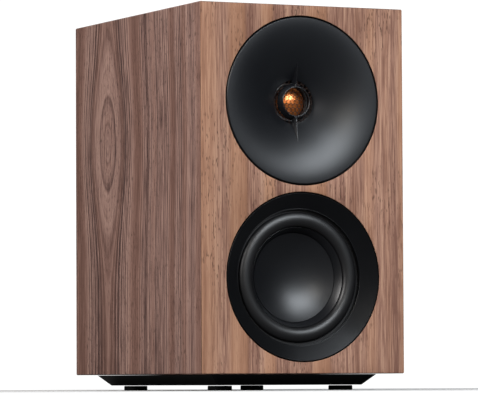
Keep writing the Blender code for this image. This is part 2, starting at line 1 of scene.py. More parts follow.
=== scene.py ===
# %% [markdown]
# # A two-way bookshelf loudspeaker
# This lesson dresses a ready frame of a small loudspeaker: a walnut-veneered cabinet on a black plinth,
# a round waveguide with a copper-coloured dome behind a hexagonal guard, and a woofer with a concave bowl.
# The frame already knows every size and every joint, so each piece below takes its place from a frame node.

import math

import bmesh
import bpy
from mathutils import Matrix, Vector
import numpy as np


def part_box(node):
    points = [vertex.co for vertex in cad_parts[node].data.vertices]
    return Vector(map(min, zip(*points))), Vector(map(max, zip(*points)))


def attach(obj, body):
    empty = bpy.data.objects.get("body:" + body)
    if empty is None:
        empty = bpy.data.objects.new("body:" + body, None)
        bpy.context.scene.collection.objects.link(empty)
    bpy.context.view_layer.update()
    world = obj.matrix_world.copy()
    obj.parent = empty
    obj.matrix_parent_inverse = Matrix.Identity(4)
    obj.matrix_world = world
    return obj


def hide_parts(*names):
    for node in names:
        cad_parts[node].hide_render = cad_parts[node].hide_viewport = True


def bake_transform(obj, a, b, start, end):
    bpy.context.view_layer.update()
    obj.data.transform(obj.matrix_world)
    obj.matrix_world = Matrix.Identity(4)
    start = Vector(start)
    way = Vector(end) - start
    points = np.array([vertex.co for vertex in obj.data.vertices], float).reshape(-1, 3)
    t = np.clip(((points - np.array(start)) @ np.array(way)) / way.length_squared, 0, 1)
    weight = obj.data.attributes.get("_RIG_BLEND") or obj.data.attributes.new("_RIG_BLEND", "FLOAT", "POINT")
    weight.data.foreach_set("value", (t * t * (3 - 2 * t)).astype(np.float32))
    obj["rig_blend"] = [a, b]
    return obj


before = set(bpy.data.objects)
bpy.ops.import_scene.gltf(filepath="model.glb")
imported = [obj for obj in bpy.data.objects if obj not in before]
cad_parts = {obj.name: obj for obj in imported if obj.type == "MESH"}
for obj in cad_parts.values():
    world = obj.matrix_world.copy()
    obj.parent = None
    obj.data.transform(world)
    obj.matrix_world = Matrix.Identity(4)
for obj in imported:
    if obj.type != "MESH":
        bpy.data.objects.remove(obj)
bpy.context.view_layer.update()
MM = 0.001

# %% [markdown]
# ## Camera
# A box looks calm when it is seen from far away through a long lens, because its upright edges then stay
# nearly parallel. A near camera with a short lens would spread them. The distance decides how much the
# edges lean, and the lens then decides how large the speaker is in the frame. The camera sits just above
# the table and looks slightly up. The Standard view transform keeps white paper white.

# %% Camera
CAMERA_PLACE = Vector((-1.319, -2.782, 0.007))
CAMERA_YAW, CAMERA_PITCH, CAMERA_ROLL = (math.radians(angle) for angle in (25.42, 2.79, -0.26))
CAMERA_LENS = 280.7

camera_data = bpy.data.cameras.new("camera")
camera_data.lens = CAMERA_LENS
camera_data.sensor_width = 36.0
camera_data.clip_end = 100.0
camera = bpy.data.objects.new("camera", camera_data)
bpy.context.scene.collection.objects.link(camera)
turn = Matrix.Rotation(-CAMERA_YAW, 3, "Z") @ Matrix.Rotation(math.pi / 2 + CAMERA_PITCH, 3, "X")
camera.location = CAMERA_PLACE
camera.rotation_euler = (turn @ Matrix.Rotation(CAMERA_ROLL, 3, "Z")).to_euler()
bpy.context.scene.camera = camera
bpy.context.scene.view_settings.view_transform = "Standard"
print("camera", round(CAMERA_PLACE.length, 2), "m from the middle of the foot")

# %% [markdown]
# ## Helpers for meshes
# A finished piece has its place in its mesh and its object at the origin, as the frame's own nodes have.
# These helpers make such an object from a bmesh, apply its modifiers, hand it to the body it moves with,
# and find the middle of a frame node. Faces that meet at less than the smooth angle shade as one curve.


# %% Helpers for meshes
SMOOTH_ANGLE = 32.0


def shade(mesh, angle=SMOOTH_ANGLE):
    """Shades a mesh smooth, except where faces meet at more than the angle, in degrees."""
    mesh.shade_smooth()
    mesh.set_sharp_from_angle(angle=math.radians(angle))


def new_object(name, bm, smooth_angle=SMOOTH_ANGLE):
    """A finished object of a bmesh, with its place in its mesh and faces outwards."""
    bmesh.ops.remove_doubles(bm, verts=bm.verts, dist=1e-6)
    bmesh.ops.recalc_face_normals(bm, faces=bm.faces)
    mesh = bpy.data.meshes.new(name)
    bm.to_mesh(mesh)
    bm.free()
    shade(mesh, smooth_angle)
    made = bpy.data.objects.new(name, mesh)
    bpy.context.scene.collection.objects.link(made)
    return made


def settled(piece):
    """Applies every modifier of a piece and leaves a plain mesh."""
    graph = bpy.context.evaluated_depsgraph_get()
    mesh = bpy.data.meshes.new_from_object(piece.evaluated_get(graph))
    piece.modifiers.clear()
    piece.data = mesh
    return piece


def finish_piece(piece, body, *nodes, paint=None, slot=None):
    """Gives a piece its material, the body it rides on and the frame nodes it stands for. slot is not used.
    """
    if paint:
        piece.data.materials.clear()
        piece.data.materials.append(paint)
    if body:
        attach(piece, body)
    if nodes:
        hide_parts(*nodes)
    return piece


def middle(node):
    """The centre of a frame node's box."""
    low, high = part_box(node)
    return (low + high) / 2


# %% [markdown]
# ## Turned pieces
# Most of a driver is turned on a lathe or drawn on a round die, so one helper spins a profile of
# (radius, depth) points about the driver's own axis. Real edges are never knife sharp: the helper rounds
# each corner of the profile with a short arc first, which is what catches the light on a black part.

# %% Turning a profile
TURNS = 160
NEARLY_STRAIGHT = math.radians(165)
SIDE_SHARE, SMALLEST_ARC = 0.45, 0.02


def rounded_profile(points, radius, steps=3, closed=True):
    """Replaces each corner of a profile with a short arc that touches both of its sides."""
    count = len(points)
    corners = [Vector(point) for point in points]
    result = []
    for i, corner in enumerate(corners):
        if not closed and i in (0, count - 1):
            result.append(tuple(corner))
            continue
        before, after = corners[i - 1] - corner, corners[(i + 1) % count] - corner
        reach = min(radius, SIDE_SHARE * before.length, SIDE_SHARE * after.length)
        if before.angle(after) > NEARLY_STRAIGHT or reach < SMALLEST_ARC:
            result.append(tuple(corner))
            continue
        start, end = corner + before.normalized() * reach, corner + after.normalized() * reach
        for step in range(steps + 1):
            t = step / steps
            result.append(tuple((1 - t) ** 2 * start + 2 * t * (1 - t) * corner + t**2 * end))
    return result


def turned(name, profile, centre, segments=TURNS, flute=None):
    """Spins millimetre (radius, depth) points about +Y through centre. A radius of 0 closes on the axis."""
    bm = bmesh.new()
    rings = []
    for radius, depth in profile:
        ring = []
        for i in range(segments if radius > 1e-6 else 1):
            angle = 2 * math.pi * i / segments
            reach = radius + (flute(angle, radius) if flute else 0.0)
            offset = Vector((reach * math.cos(angle), depth, reach * math.sin(angle)))
            ring.append(bm.verts.new(centre + offset * MM))
        rings.append(ring)
    pairs = list(zip(rings, rings[1:]))
    if len(rings[0]) > 1 and len(rings[-1]) > 1:
        pairs.append((rings[-1], rings[0]))
    for first, second in pairs:
        for i in range(segments if len(first) + len(second) > 2 else 0):
            j = (i + 1) % segments
            near_side = [first[i % len(first)], first[j % len(first)]]
            far_side = [second[j % len(second)], second[i % len(second)]]
            bm.faces.new(dict.fromkeys(near_side + far_side))
    return new_object(name, bm)


BAFFLE_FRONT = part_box("front_baffle")[0].y
WOOFER = Vector((0, BAFFLE_FRONT, middle("woofer_trim_ring").z))
TWEETER = Vector((0, BAFFLE_FRONT, middle("waveguide").z))
print("woofer axis at", round(WOOFER.z / MM, 1), "mm, tweeter axis at", round(TWEETER.z / MM, 1), "mm")


# %% [markdown]
# ## Paint
# A material is a small sum of numbers that change over the surface. Its nodes could be laid out by hand,
# but a sum reads better: `Wire` wraps one socket, so that `1 - mask * 0.4` adds its Math nodes by itself.
# `Paint` makes one material and has one method for any other node. Colours go through `mix`, because a
# Math node would turn them grey.

# %% Shader maths
# A Mix node has sockets for every kind of data. These numbers are the ones that it uses for colours.
MIX_FACTOR, MIX_FIRST, MIX_SECOND, MIX_RESULT = 0, 6, 7, 2


class Wire:
    """One output socket of a material, with arithmetic."""

    def __init__(self, paint, socket):
        self.paint, self.socket = paint, socket

    def maths(self, operation, first, second):
        """One Math node on two values or wires."""
        return self.paint.node("ShaderNodeMath", {"operation": operation}, {0: first, 1: second})

    def __add__(self, other):
        return self.maths("ADD", self, other)

    def __sub__(self, other):
        return self.maths("SUBTRACT", self, other)

    def __mul__(self, other):
        return self.maths("MULTIPLY", self, other)

    def __truediv__(self, other):
        return self.maths("DIVIDE", self, other)

    def __pow__(self, other):
        return self.maths("POWER", self, other)

    def __radd__(self, other):
        return self.maths("ADD", other, self)

    def __rsub__(self, other):
        return self.maths("SUBTRACT", other, self)

    def __rmul__(self, other):
        return self.maths("MULTIPLY", other, self)

    def between(self, low, high, to_low=0.0, to_high=1.0):
        """Maps low..high onto to_low..to_high, held at both ends."""
        values = {"Value": self, "From Min": low, "From Max": high, "To Min": to_low, "To Max": to_high}
        return self.paint.node("ShaderNodeMapRange", {"interpolation_type": "SMOOTHSTEP"}, values)


class Paint:
    """A material with a Principled shader whose nodes are all added by one method."""

    def __init__(self, name, colour, roughness, metallic=0.0, **constants):
        self.material = bpy.data.materials.new(name)
        self.material.use_nodes = True
        self.tree = self.material.node_tree
        self.shader = self.tree.nodes["Principled BSDF"]
        self.set("Base Color", (*colour, 1.0))
        self.set("Roughness", roughness)
        self.set("Metallic", metallic)
        for name_of_socket, value in constants.items():
            self.set(name_of_socket.replace("_", " "), value)

    def set(self, socket, value):
        """Gives a socket of the Principled shader a value or a wire."""
        self.plug(value, self.shader.inputs[socket])

    def plug(self, value, socket):
        """Links a wire to a socket, or writes a plain value into it."""
        if isinstance(value, Wire):
            self.tree.links.new(value.socket, socket)
        else:
            socket.default_value = value

    def node(self, kind, settings=None, inputs=None, output=0):
        """Adds any node: its settings first, then the values or wires of its sockets."""
        made = self.tree.nodes.new(kind)
        for key, value in (settings or {}).items():
            if key == "stops":
                ramp = made.color_ramp
                while len(ramp.elements) < len(value):
                    ramp.elements.new(0.5)
                for element, (place, colour) in zip(ramp.elements, value):
                    element.position, element.color = place, (*colour, 1.0)
            else:
                setattr(made, key, value)
        for key, value in (inputs or {}).items():
            self.plug(value, made.inputs[key])
        return Wire(self, made.outputs[output])

    def place(self, scale=(1, 1, 1), move=(0, 0, 0)):
        """Object coordinates in metres, scaled and then moved."""
        here = self.node("ShaderNodeTexCoord", output="Object")
        return self.node("ShaderNodeMapping", {}, {"Vector": here, "Location": move, "Scale": scale})

    def axis(self, letter):
        """One of the object coordinates, in metres."""
        split = self.tree.nodes.new("ShaderNodeSeparateXYZ")
        self.plug(self.place(), split.inputs[0])
        return Wire(self, split.outputs["xyz".index(letter)])

    def rings(self, where, scale, detail):
        """Noise that varies along one number only."""
        values = {"W": where, "Scale": scale, "Detail": detail, "Roughness": 0.6}
        return self.node("ShaderNodeTexNoise", {"noise_dimensions": "1D"}, values)

    def noise(self, where, scale, detail, roughness=0.5, distortion=0.0):
        """Noise that varies in all three directions."""
        values = {"Vector": where, "Scale": scale, "Detail": detail}
        values.update({"Roughness": roughness, "Distortion": distortion})
        return self.node("ShaderNodeTexNoise", {}, values)

    def mix(self, factor, first, second):
        """The first colour at a factor of 0 and the second at 1."""
        made = self.tree.nodes.new("ShaderNodeMix")
        made.data_type, made.clamp_factor = "RGBA", True
        self.plug(factor, made.inputs[MIX_FACTOR])
        for value, socket in ((first, made.inputs[MIX_FIRST]), (second, made.inputs[MIX_SECOND])):
            self.plug(value if isinstance(value, Wire) else (*value, 1.0), socket)
        return Wire(self, made.outputs[MIX_RESULT])

    def bump(self, height, strength, distance):
        """Tilts the surface by a height that varies, with the distance in metres."""
        values = {"Height": height, "Strength": strength, "Distance": distance}
        self.set("Normal", self.node("ShaderNodeBump", {}, values))


# %% [markdown]
# ## Moulded black plastic
# The waveguide, the port and the terminal tray are injection moulded. Their skin is almost black, with a
# fine spark-eroded grain that breaks up the highlight. Grain as real geometry would need millions of
# faces, so two noises do it: a very fine one for the bump, and a broad one that makes the tone and the
# gloss a little uneven. The cone, the rubber parts and the plinth are made in the same way, each with
# its own tone, gloss and size of grain.


# %% Plastics and rubber
def moulded(name, colour, roughness, grain=0.00002, grain_size=3800, spread=0.10, **constants):
    """A grained skin. grain is the bump's height in metres and spread is how far the gloss varies."""
    paint = Paint(name, colour, roughness, **constants)
    here = paint.place()
    broad = paint.noise(here, 28, 4)
    fine = paint.noise(here, grain_size, 2)
    paint.set("Roughness", broad * spread + (roughness - spread / 2))
    lighter = tuple(1.35 * channel + 0.002 for channel in colour)
    paint.set("Base Color", paint.mix(broad, colour, lighter))
    paint.bump(fine, 0.35, grain)
    return paint.material


HORN_BLACK = moulded(
    "waveguide_satin_black", (0.0026, 0.0032, 0.0046), 0.36, spread=0.05, Specular_IOR_Level=0.42
)
TRIM_BLACK = moulded("trim_ring_satin_black", (0.0020, 0.0022, 0.0028), 0.30, Specular_IOR_Level=0.22)
MOULDED_BLACK = moulded("moulded_black", (0.014, 0.014, 0.015), 0.48, grain=0.00004, grain_size=2200)
CONE_BLACK = moulded("cone_black", (0.0030, 0.0034, 0.0046), 0.36, grain=0.00003, grain_size=2600)
RUBBER_BLACK = moulded("surround_rubber", (0.0032, 0.0032, 0.0038), 0.40, grain=0.00003, grain_size=3000)
FOOT_BLACK = moulded("foot_rubber", (0.010, 0.010, 0.010), 0.70, grain=0.00006, grain_size=1800)
PLINTH_BLACK = moulded("plinth_satin_black", (0.0045, 0.0045, 0.0052), 0.34)
print("black finishes:", [m.name for m in bpy.data.materials if "black" in m.name or "rubber" in m.name])


# %% [markdown]
# ## Walnut veneer
# Veneer is a slice through the tree's yearly rings. Where the slice is square to them, the rings show as
# straight stripes. Where it just grazes one, they close into long nested ovals, and the stripes beside
# them bend round. So one number is enough to draw a leaf: `growth`, the distance into the tree. It is the
# distance across the grain, and round an oval it also rises towards the oval's two ends and then levels
# off. One-dimensional noises of `growth` give broad bands, fine stripes, thin dark lines and a warm tint.
# Noises drawn out along the grain add fine threads and soft patches, and short dark dashes are the open
# pores. A scanned board would be quicker, but a formula has no seam and keeps its scale. The grain runs
# upright on the sides, the front and the rear, and from front to back on the top and the bottom. Sheets
# cut one after another look alike, so the two sides share a leaf, and so do the top and the bottom. The
# four leaves have seeds of their own, and only the one on the sides has an oval.


# %% Walnut
BANDS, STRIPES, LINES, TINTS, FIBRES = 70, 380, 150, 40, 1100
THREAD_SHARE, PATCH_SHARE, LINE_SHARE, TONE_SHIFT = 1.3, 0.5, 0.12, 0.38


def walnut(name, across, tones, seed, oval=None, wander=0.010, band=1.0, stripe=0.9, fine=STRIPES, grain="z"):
    """A leaf of veneer, with its rings along `across` and its fibres along `grain`.

    tones are dark, middle, light and a warm tint. oval is (centre across, centre up, half width, half
    height) in metres. band and stripe say how strongly those two show, and fine how dense the stripes are.
    """
    paint = Paint(name, tones[1], 0.42)

    def drawn(share, move=(0, 0, 0)):
        """Coordinates that draw a noise out along the grain, further for a smaller share."""
        return paint.place(scale=tuple(share if axis == grain else 1 for axis in "xyz"), move=move)

    along = drawn(0.2, (seed, seed, seed))
    drift = paint.noise(along, 12, 2)
    growth = paint.axis(across) + (drift - 0.5) * wander
    calm = 1.0
    if oval:
        growth, calm = round_oval(paint, growth, *oval)
    bands = paint.rings(growth + seed, BANDS, 1)
    stripes = paint.rings(growth + 2 * seed, fine, 3)
    lines = paint.rings(growth + 4 * seed, LINES, 0).between(0.60, 0.74)
    threads = paint.noise(drawn(0.035), FIBRES, 2)
    patches = paint.noise(drawn(0.3, (0, seed, 0)), 14, 2)
    tone = (bands - 0.5) * band + (stripes - 0.5) * stripe * calm
    tone = tone + threads * THREAD_SHARE + patches * PATCH_SHARE - lines * LINE_SHARE - TONE_SHIFT
    stops = [(0.26, tones[0]), (0.50, tones[1]), (0.76, tones[2])]
    colour = paint.node("ShaderNodeValToRGB", {"stops": stops}, {"Fac": tone})
    warmth = paint.rings(growth + 3 * seed, TINTS, 1).between(0.45, 0.65)
    colour = paint.mix(warmth * 0.5, colour, tones[3])
    dashes = paint.noise(drawn(0.16, (seed, 0, 0)), FIBRES, 1)
    where = paint.noise(drawn(0.4, (0, 0, seed)), 30, 2).between(0.40, 0.58)
    pore = dashes.between(0.60, 0.70) * (where * 0.8 + 0.2)
    colour = paint.mix(pore * 0.75, colour, tuple(0.35 * channel for channel in tones[0]))
    paint.set("Base Color", colour)
    paint.set("Specular IOR Level", 0.2)
    paint.set("Roughness", pore * 0.2 + stripes * 0.15 + 0.54)
    paint.bump(threads * 0.5 - pore, 0.35, 0.00008)
    return paint.material


def round_oval(paint, across, centre, up, half_width, half_height):
    """Growth round an oval, and how strongly the stripes show, which is less inside it."""
    height = (paint.axis("z") - up) / half_height
    lift = 1.0 - paint.node("ShaderNodeMath", {"operation": "EXPONENT"}, {0: height * height * -1.0})
    width = (across - centre) / half_width
    reach = (width * width + lift * 1.5) ** 0.5
    return reach * half_width, reach.between(0.9, 1.6, 0.35, 0.95)


SIDE_TONES = ((0.090, 0.050, 0.044), (0.262, 0.152, 0.126), (0.470, 0.298, 0.246), (0.255, 0.130, 0.096))
FRONT_TONES = ((0.170, 0.080, 0.056), (0.275, 0.145, 0.101), (0.400, 0.232, 0.158), (0.375, 0.184, 0.098))
SIDE_OVAL = (0.058, 0.205, 0.026, 0.066)
WALNUT_SIDE = walnut(
    "walnut_side_leaf", "y", SIDE_TONES, 1.7, SIDE_OVAL, 0.006, band=0.60, stripe=1.5, fine=560
)
WALNUT_FRONT = walnut(
    "walnut_front_leaf", "x", FRONT_TONES, 4.2, wander=0.020, band=0.60, stripe=0.55, fine=300
)
WALNUT_TOP = walnut("walnut_top_leaf", "x", SIDE_TONES, 7.9, grain="y")
WALNUT_REAR = walnut("walnut_rear_leaf", "x", SIDE_TONES, 5.3)
print("leaves:", WALNUT_SIDE.name, WALNUT_FRONT.name, WALNUT_TOP.name, WALNUT_REAR.name)


# %% [markdown]
# The boards under the veneer are fibreboard. It shows only inside the cabinet and in the mitres, as a
# pale brown felt of short fibres, which one fine noise and one coarse one give. Round the two driver
# openings the sawn edge is stained black, and the black is also painted shade for the narrow gap beside
# the black rings, so that no pale line shows there.

# %% Fibreboard
def fibreboard():
    """Pale pressed fibre, as it shows on a sawn edge."""
    paint = Paint("fibreboard_core", (0.33, 0.23, 0.15), 0.85)
    here = paint.place()
    fibres = paint.noise(here, 900, 4, 0.7)
    colour = paint.mix(fibres.between(0.35, 0.65), (0.26, 0.175, 0.11), (0.42, 0.31, 0.21))
    paint.set("Base Color", paint.mix(paint.noise(here, 40, 3) * 0.3, colour, (0.22, 0.15, 0.10)))
    paint.bump(fibres, 0.4, 0.0001)
    return paint.material


FIBREBOARD = fibreboard()
# The black stain is partly real and partly painted shade: it darkens the narrow gap round each ring.
BLACK_STAIN_AND_SHADE = moulded("stained_fibreboard", (0.008, 0.007, 0.007), 0.8)
print("cores:", FIBREBOARD.name, BLACK_STAIN_AND_SHADE.name)

# %% [markdown]
# ## Cabinet boards
# Each board is a flat frustum that meets its neighbours in a mitre, so the seam runs exactly along the
# cabinet's edge. A plain board can be a copy of the frame's node: its loose triangles are merged, the flat
# faces are dissolved back to one each, and a small bevel breaks the edge that catches the light.
# Faces that look outwards wear veneer, the rims of the driver openings are stained black, which is
# also painted shade for the gap round each ring, and the rest are bare fibreboard.

# %% Boards
EDGE_BREAK = 0.0004
STAIN_AND_SHADE_REACH = 0.069


def board_mesh(node):
    """A copy of a frame node's mesh, merged and with its flat faces whole again."""
    bm = bmesh.new()
    bm.from_mesh(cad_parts[node].data)
    bmesh.ops.remove_doubles(bm, verts=bm.verts, dist=1e-5)
    bmesh.ops.dissolve_limit(bm, angle_limit=math.radians(1), verts=bm.verts, edges=bm.edges)
    return bm


def veneer(piece, outward, leaf, openings=()):
    """Puts the leaf on outward faces, black stain with painted shade round the openings, fibreboard
    elsewhere.
    """
    for material in (leaf, FIBREBOARD, BLACK_STAIN_AND_SHADE):
        piece.data.materials.append(material)
    outer = max(vert.co.dot(outward) for vert in piece.data.vertices)
    for face in piece.data.polygons:
        shown = face.center.dot(outward) > outer - 2 * EDGE_BREAK
        axes = [Vector((opening.x, face.center.y, opening.z)) for opening in openings]
        # Faces round the driver openings go black: stain, and painted shade for the gap round each ring.
        stained = any((face.center - axis).length < STAIN_AND_SHADE_REACH for axis in axes)
        face.material_index = 0 if shown else 2 if stained else 1


def break_edges(piece, width):
    """Bevels the edges where faces meet at more than 30 degrees, with two segments."""
    rounding = piece.modifiers.new("edge break", "BEVEL")
    rounding.width, rounding.segments = width, 2
    rounding.limit_method, rounding.angle_limit = "ANGLE", math.radians(30)


BOARDS = {
    "left_side_panel": ((-1, 0, 0), WALNUT_SIDE),
    "right_side_panel": ((1, 0, 0), WALNUT_SIDE),
    "top_panel": ((0, 0, 1), WALNUT_TOP),
    "bottom_panel": ((0, 0, -1), WALNUT_TOP),
}
for node, (outward, leaf) in BOARDS.items():
    board = new_object(node + "_veneered", board_mesh(node), 20)
    break_edges(board, EDGE_BREAK)
    settled(board)
    veneer(board, Vector(outward), leaf)
    finish_piece(board, "cabinet", node, slot="walnut_veneer")
print("boards:", ", ".join(BOARDS))

# %% [markdown]
# The baffle and the rear board have round openings. The frame's openings are many-sided, so these two
# boards are cut afresh: an eight-cornered blank from the frame's own corners, minus finely turned cutters,
# with the same Boolean that a person would use, and then the same edge break round every rim.


# %% Baffle and rear board
def blank(node, outward):
    """The board's outer and inner rectangles, joined as one frustum."""
    low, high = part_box(node)
    verts = [vert.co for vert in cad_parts[node].data.vertices]
    inner_side = high.y if outward < 0 else low.y
    inner = [v for v in verts if abs(v.y - inner_side) < 1e-5]
    low_in = Vector((min(v.x for v in inner), inner_side, min(v.z for v in inner)))
    high_in = Vector((max(v.x for v in inner), inner_side, max(v.z for v in inner)))
    outer_side = low.y if outward < 0 else high.y
    bm = bmesh.new()
    rings = []
    for a, b, y in ((low, high, outer_side), (low_in, high_in, inner_side)):
        corners = [(a.x, y, a.z), (b.x, y, a.z), (b.x, y, b.z), (a.x, y, b.z)]
        rings.append([bm.verts.new(corner) for corner in corners])
    for i in range(4):
        j = (i + 1) % 4
        bm.faces.new((rings[0][i], rings[0][j], rings[1][j], rings[1][i]))
    bm.faces.new(rings[0])
    bm.faces.new(rings[1])
    return new_object(node + "_veneered", bm, 20)


def cut(piece, cutter):
    """Takes the cutter's shape out of a piece and removes the cutter."""
    step = piece.modifiers.new("cut", "BOOLEAN")
    step.operation, step.solver, step.object = "DIFFERENCE", "EXACT", cutter
    settled(piece)
    bpy.data.objects.remove(cutter)


def stepped(name, rebate_radius, rebate, hole_radius, centre, direction=1):
    """A turned cutter in millimetres: a wide rebate in the board's face and a narrower hole behind it."""
    profile = [(0, -3), (rebate_radius, -3), (rebate_radius, rebate)]
    profile += [(hole_radius, rebate), (hole_radius, 30), (0, 30)]
    return turned(name, [(radius, direction * depth) for radius, depth in profile], centre)


def rounded_rectangle(half_width, half_height, corner):
    """Points of a rounded rectangle in (x, z), anticlockwise from the right."""
    points, steps = [], 8
    for quarter, (sx, sz) in enumerate(((1, 1), (-1, 1), (-1, -1), (1, -1))):
        for i in range(steps + 1):
            angle = math.pi / 2 * (quarter + i / steps)
            across = sx * (half_width - corner) + corner * math.cos(angle)
            up = sz * (half_height - corner) + corner * math.sin(angle)
            points.append((across, up))
    return points


def loft(name, rows, centre):
    """Skins rounded rectangles given as (half width, half height, corner, depth) in millimetres."""
    bm = bmesh.new()
    rings = []
    for half_width, half_height, corner, depth in rows:
        outline = rounded_rectangle(half_width, half_height, corner)
        rings.append([bm.verts.new(centre + Vector((x, depth, z)) * MM) for x, z in outline])
    for first, second in zip(rings, rings[1:]):
        for i in range(len(first)):
            j = (i + 1) % len(first)
            bm.faces.new((first[i], first[j], second[j], second[i]))
    bm.faces.new(rings[0])
    bm.faces.new(rings[-1])
    return new_object(name, bm)


REBATE = 67.9
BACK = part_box("rear_panel")[1].y
PORT = Vector((0, BACK, middle("port_tube").z))
TRAY = Vector((0, BACK, middle("terminal_cup").z))

baffle = blank("front_baffle", -1)
cut(baffle, stepped("horn_seat", REBATE, 6.3, 50, TWEETER))
cut(baffle, stepped("woofer_seat", REBATE, 11.6, 58.5, WOOFER))
break_edges(baffle, EDGE_BREAK)
settled(baffle)
veneer(baffle, Vector((0, -1, 0)), WALNUT_FRONT, (WOOFER, TWEETER))
finish_piece(baffle, "cabinet", "front_baffle", slot="walnut_veneer")

rear = blank("rear_panel", 1)
cut(rear, stepped("port_seat", 35.4, 2.8, 24.8, PORT, -1))
tray_seat = [(46.5, 36.5, 8.4, 2), (46.5, 36.5, 8.4, -2.6), (38.5, 28.5, 5.4, -2.6), (38.5, 28.5, 5.4, -22)]
cut(rear, loft("tray_seat", tray_seat, TRAY))
break_edges(rear, EDGE_BREAK)
settled(rear)
veneer(rear, Vector((0, 1, 0)), WALNUT_REAR)
finish_piece(rear, "cabinet", "rear_panel", slot="walnut_veneer")
print("baffle faces:", len(baffle.data.polygons), "rear faces:", len(rear.data.polygons))

# %% [markdown]
# ## The waveguide
# The horn's wall follows one rule: its depth grows as a power of the distance from the mouth. A shape with
# a rule is a good job for Geometry Nodes. A flat grid is wrapped: its X becomes the angle, its Y the way
# from mouth to throat, and the rule sets radius and depth. The sizes are named inputs of the tree.


# %% Geometry Nodes helper
class Tree:
    """A geometry node group with named inputs, built one node at a time."""

    def __init__(self, name, sizes):
        self.group = bpy.data.node_groups.new(name, "GeometryNodeTree")
        self.sockets = {}
        for label, (kind, value) in sizes.items():
            socket = self.group.interface.new_socket(label, in_out="INPUT", socket_type=kind)
            self.sockets[label] = (socket.identifier, value)
        self.group.interface.new_socket("Mesh", in_out="OUTPUT", socket_type="NodeSocketGeometry")
        self.inputs = self.group.nodes.new("NodeGroupInput")
        self.outputs = self.group.nodes.new("NodeGroupOutput")

    def size(self, label):
        """The tree's own named input."""
        return self.inputs.outputs[label]

    def node(self, kind, settings=None, inputs=None, output=0):
        """Adds any node: its settings first, then the values or links of its sockets."""
        made = self.group.nodes.new(kind)
        for key, value in (settings or {}).items():
            setattr(made, key, value)
        for key, value in (inputs or {}).items():
            if isinstance(value, bpy.types.NodeSocket):
                self.group.links.new(value, made.inputs[key])
            else:
                made.inputs[key].default_value = value
        return made.outputs[output]

    def maths(self, operation, first, second=0.0):
        """One Math node on two values or sockets."""
        return self.node("ShaderNodeMath", {"operation": operation}, {0: first, 1: second})

    def grown(self, name, last, finish):
        """Ends the tree in Realize Instances and Set Material, runs it once, and keeps a plain mesh."""
        real = self.node("GeometryNodeRealizeInstances", {}, {0: last})
        painted = self.node("GeometryNodeSetMaterial", {}, {"Geometry": real, "Material": finish})
        self.group.links.new(painted, self.outputs.inputs[0])
        piece = bpy.data.objects.new(name, bpy.data.meshes.new(name))
        bpy.context.scene.collection.objects.link(piece)
        grower = piece.modifiers.new("grow", "NODES")
        grower.node_group = self.group
        for identifier, value in self.sockets.values():
            grower[identifier] = value
        settled(piece)
        return piece


# %% Waveguide wall
HORN_THICKNESS = 0.0022


def waveguide_wall():
    """The open skin of the horn, from its mouth to its throat."""
    sizes = {
        "Mouth Radius": ("NodeSocketFloat", 0.0659),
        "Throat Radius": ("NodeSocketFloat", 0.0175),
        "Throat Depth": ("NodeSocketFloat", 0.0170),
        "Power": ("NodeSocketFloat", 1.83),
    }
    tree = Tree("waveguide flare", sizes)
    squares = {"Size X": 1.0, "Size Y": 1.0, "Vertices X": TURNS + 1, "Vertices Y": 40}
    grid = tree.node("GeometryNodeMeshGrid", {}, squares)
    place = tree.node("GeometryNodeInputPosition")
    split = tree.node("ShaderNodeSeparateXYZ", {}, {0: place}).node
    angle = tree.maths("MULTIPLY", split.outputs[0], 2 * math.pi)
    way = tree.maths("ADD", split.outputs[1], 0.5)
    span = tree.maths("SUBTRACT", tree.size("Mouth Radius"), tree.size("Throat Radius"))
    radius = tree.maths("SUBTRACT", tree.size("Mouth Radius"), tree.maths("MULTIPLY", span, way))
    depth = tree.maths("MULTIPLY", tree.size("Throat Depth"), tree.maths("POWER", way, tree.size("Power")))
    x = tree.maths("MULTIPLY", radius, tree.maths("COSINE", angle))
    z = tree.maths("MULTIPLY", radius, tree.maths("SINE", angle))
    wrapped = tree.node("ShaderNodeCombineXYZ", {}, {0: x, 1: depth, 2: z})
    moved = tree.node("GeometryNodeSetPosition", {}, {"Geometry": grid, "Position": wrapped})
    centred = tree.node("GeometryNodeTransform", {}, {"Geometry": moved, "Translation": tuple(TWEETER)})
    merged = tree.node("GeometryNodeMergeByDistance", {}, {"Geometry": centred, "Distance": 1e-5})
    return tree.grown("waveguide_wall", merged, HORN_BLACK)


def wall_with_thickness(piece, thickness):
    """Turns the open skin so that it faces the listener, then gives it a back."""
    bm = bmesh.new()
    bm.from_mesh(piece.data)
    bmesh.ops.recalc_face_normals(bm, faces=bm.faces)
    if sum(face.normal.y * face.calc_area() for face in bm.faces) > 0:
        bmesh.ops.reverse_faces(bm, faces=bm.faces)
    bm.to_mesh(piece.data)
    bm.free()
    shell = piece.modifiers.new("wall", "SOLIDIFY")
    shell.thickness, shell.offset = thickness, -1.0
    settled(piece)
    shade(piece.data)


horn = waveguide_wall()
wall_with_thickness(horn, HORN_THICKNESS)
finish_piece(horn, "cabinet", "waveguide", slot="waveguide_plastic")
flange = [(65.85, 0.0), (66.3, 0.12), (66.7, 0.45), (66.9, 1.0), (66.9, 6.0), (49.4, 6.0), (40, 12.5)]
flange += [(40, 19), (21.9, 19), (21.9, 17.6), (19.0, 17.4), (24, 15.4), (31, 11.6), (42, 6.9), (53, 3.4)]
flange += [(64.4, 2.0)]
horn_back = turned("waveguide_flange", rounded_profile(flange, 0.3), TWEETER)
finish_piece(horn_back, "cabinet", paint=HORN_BLACK, slot="waveguide_plastic")
print("waveguide faces:", len(horn.data.polygons))


# %% [markdown]
# ## Phase ring and blades
# A thin cone stands in front of the dome, held by one blade above and one below. The blade's front edge
# is sharp and it widens towards the horn's wall, and where it meets the ring it opens in a soft fork.
# Cross-sections along the blade are skinned: each has a width at its front and one at its foot, and both
# are formulas of the distance from the axis.


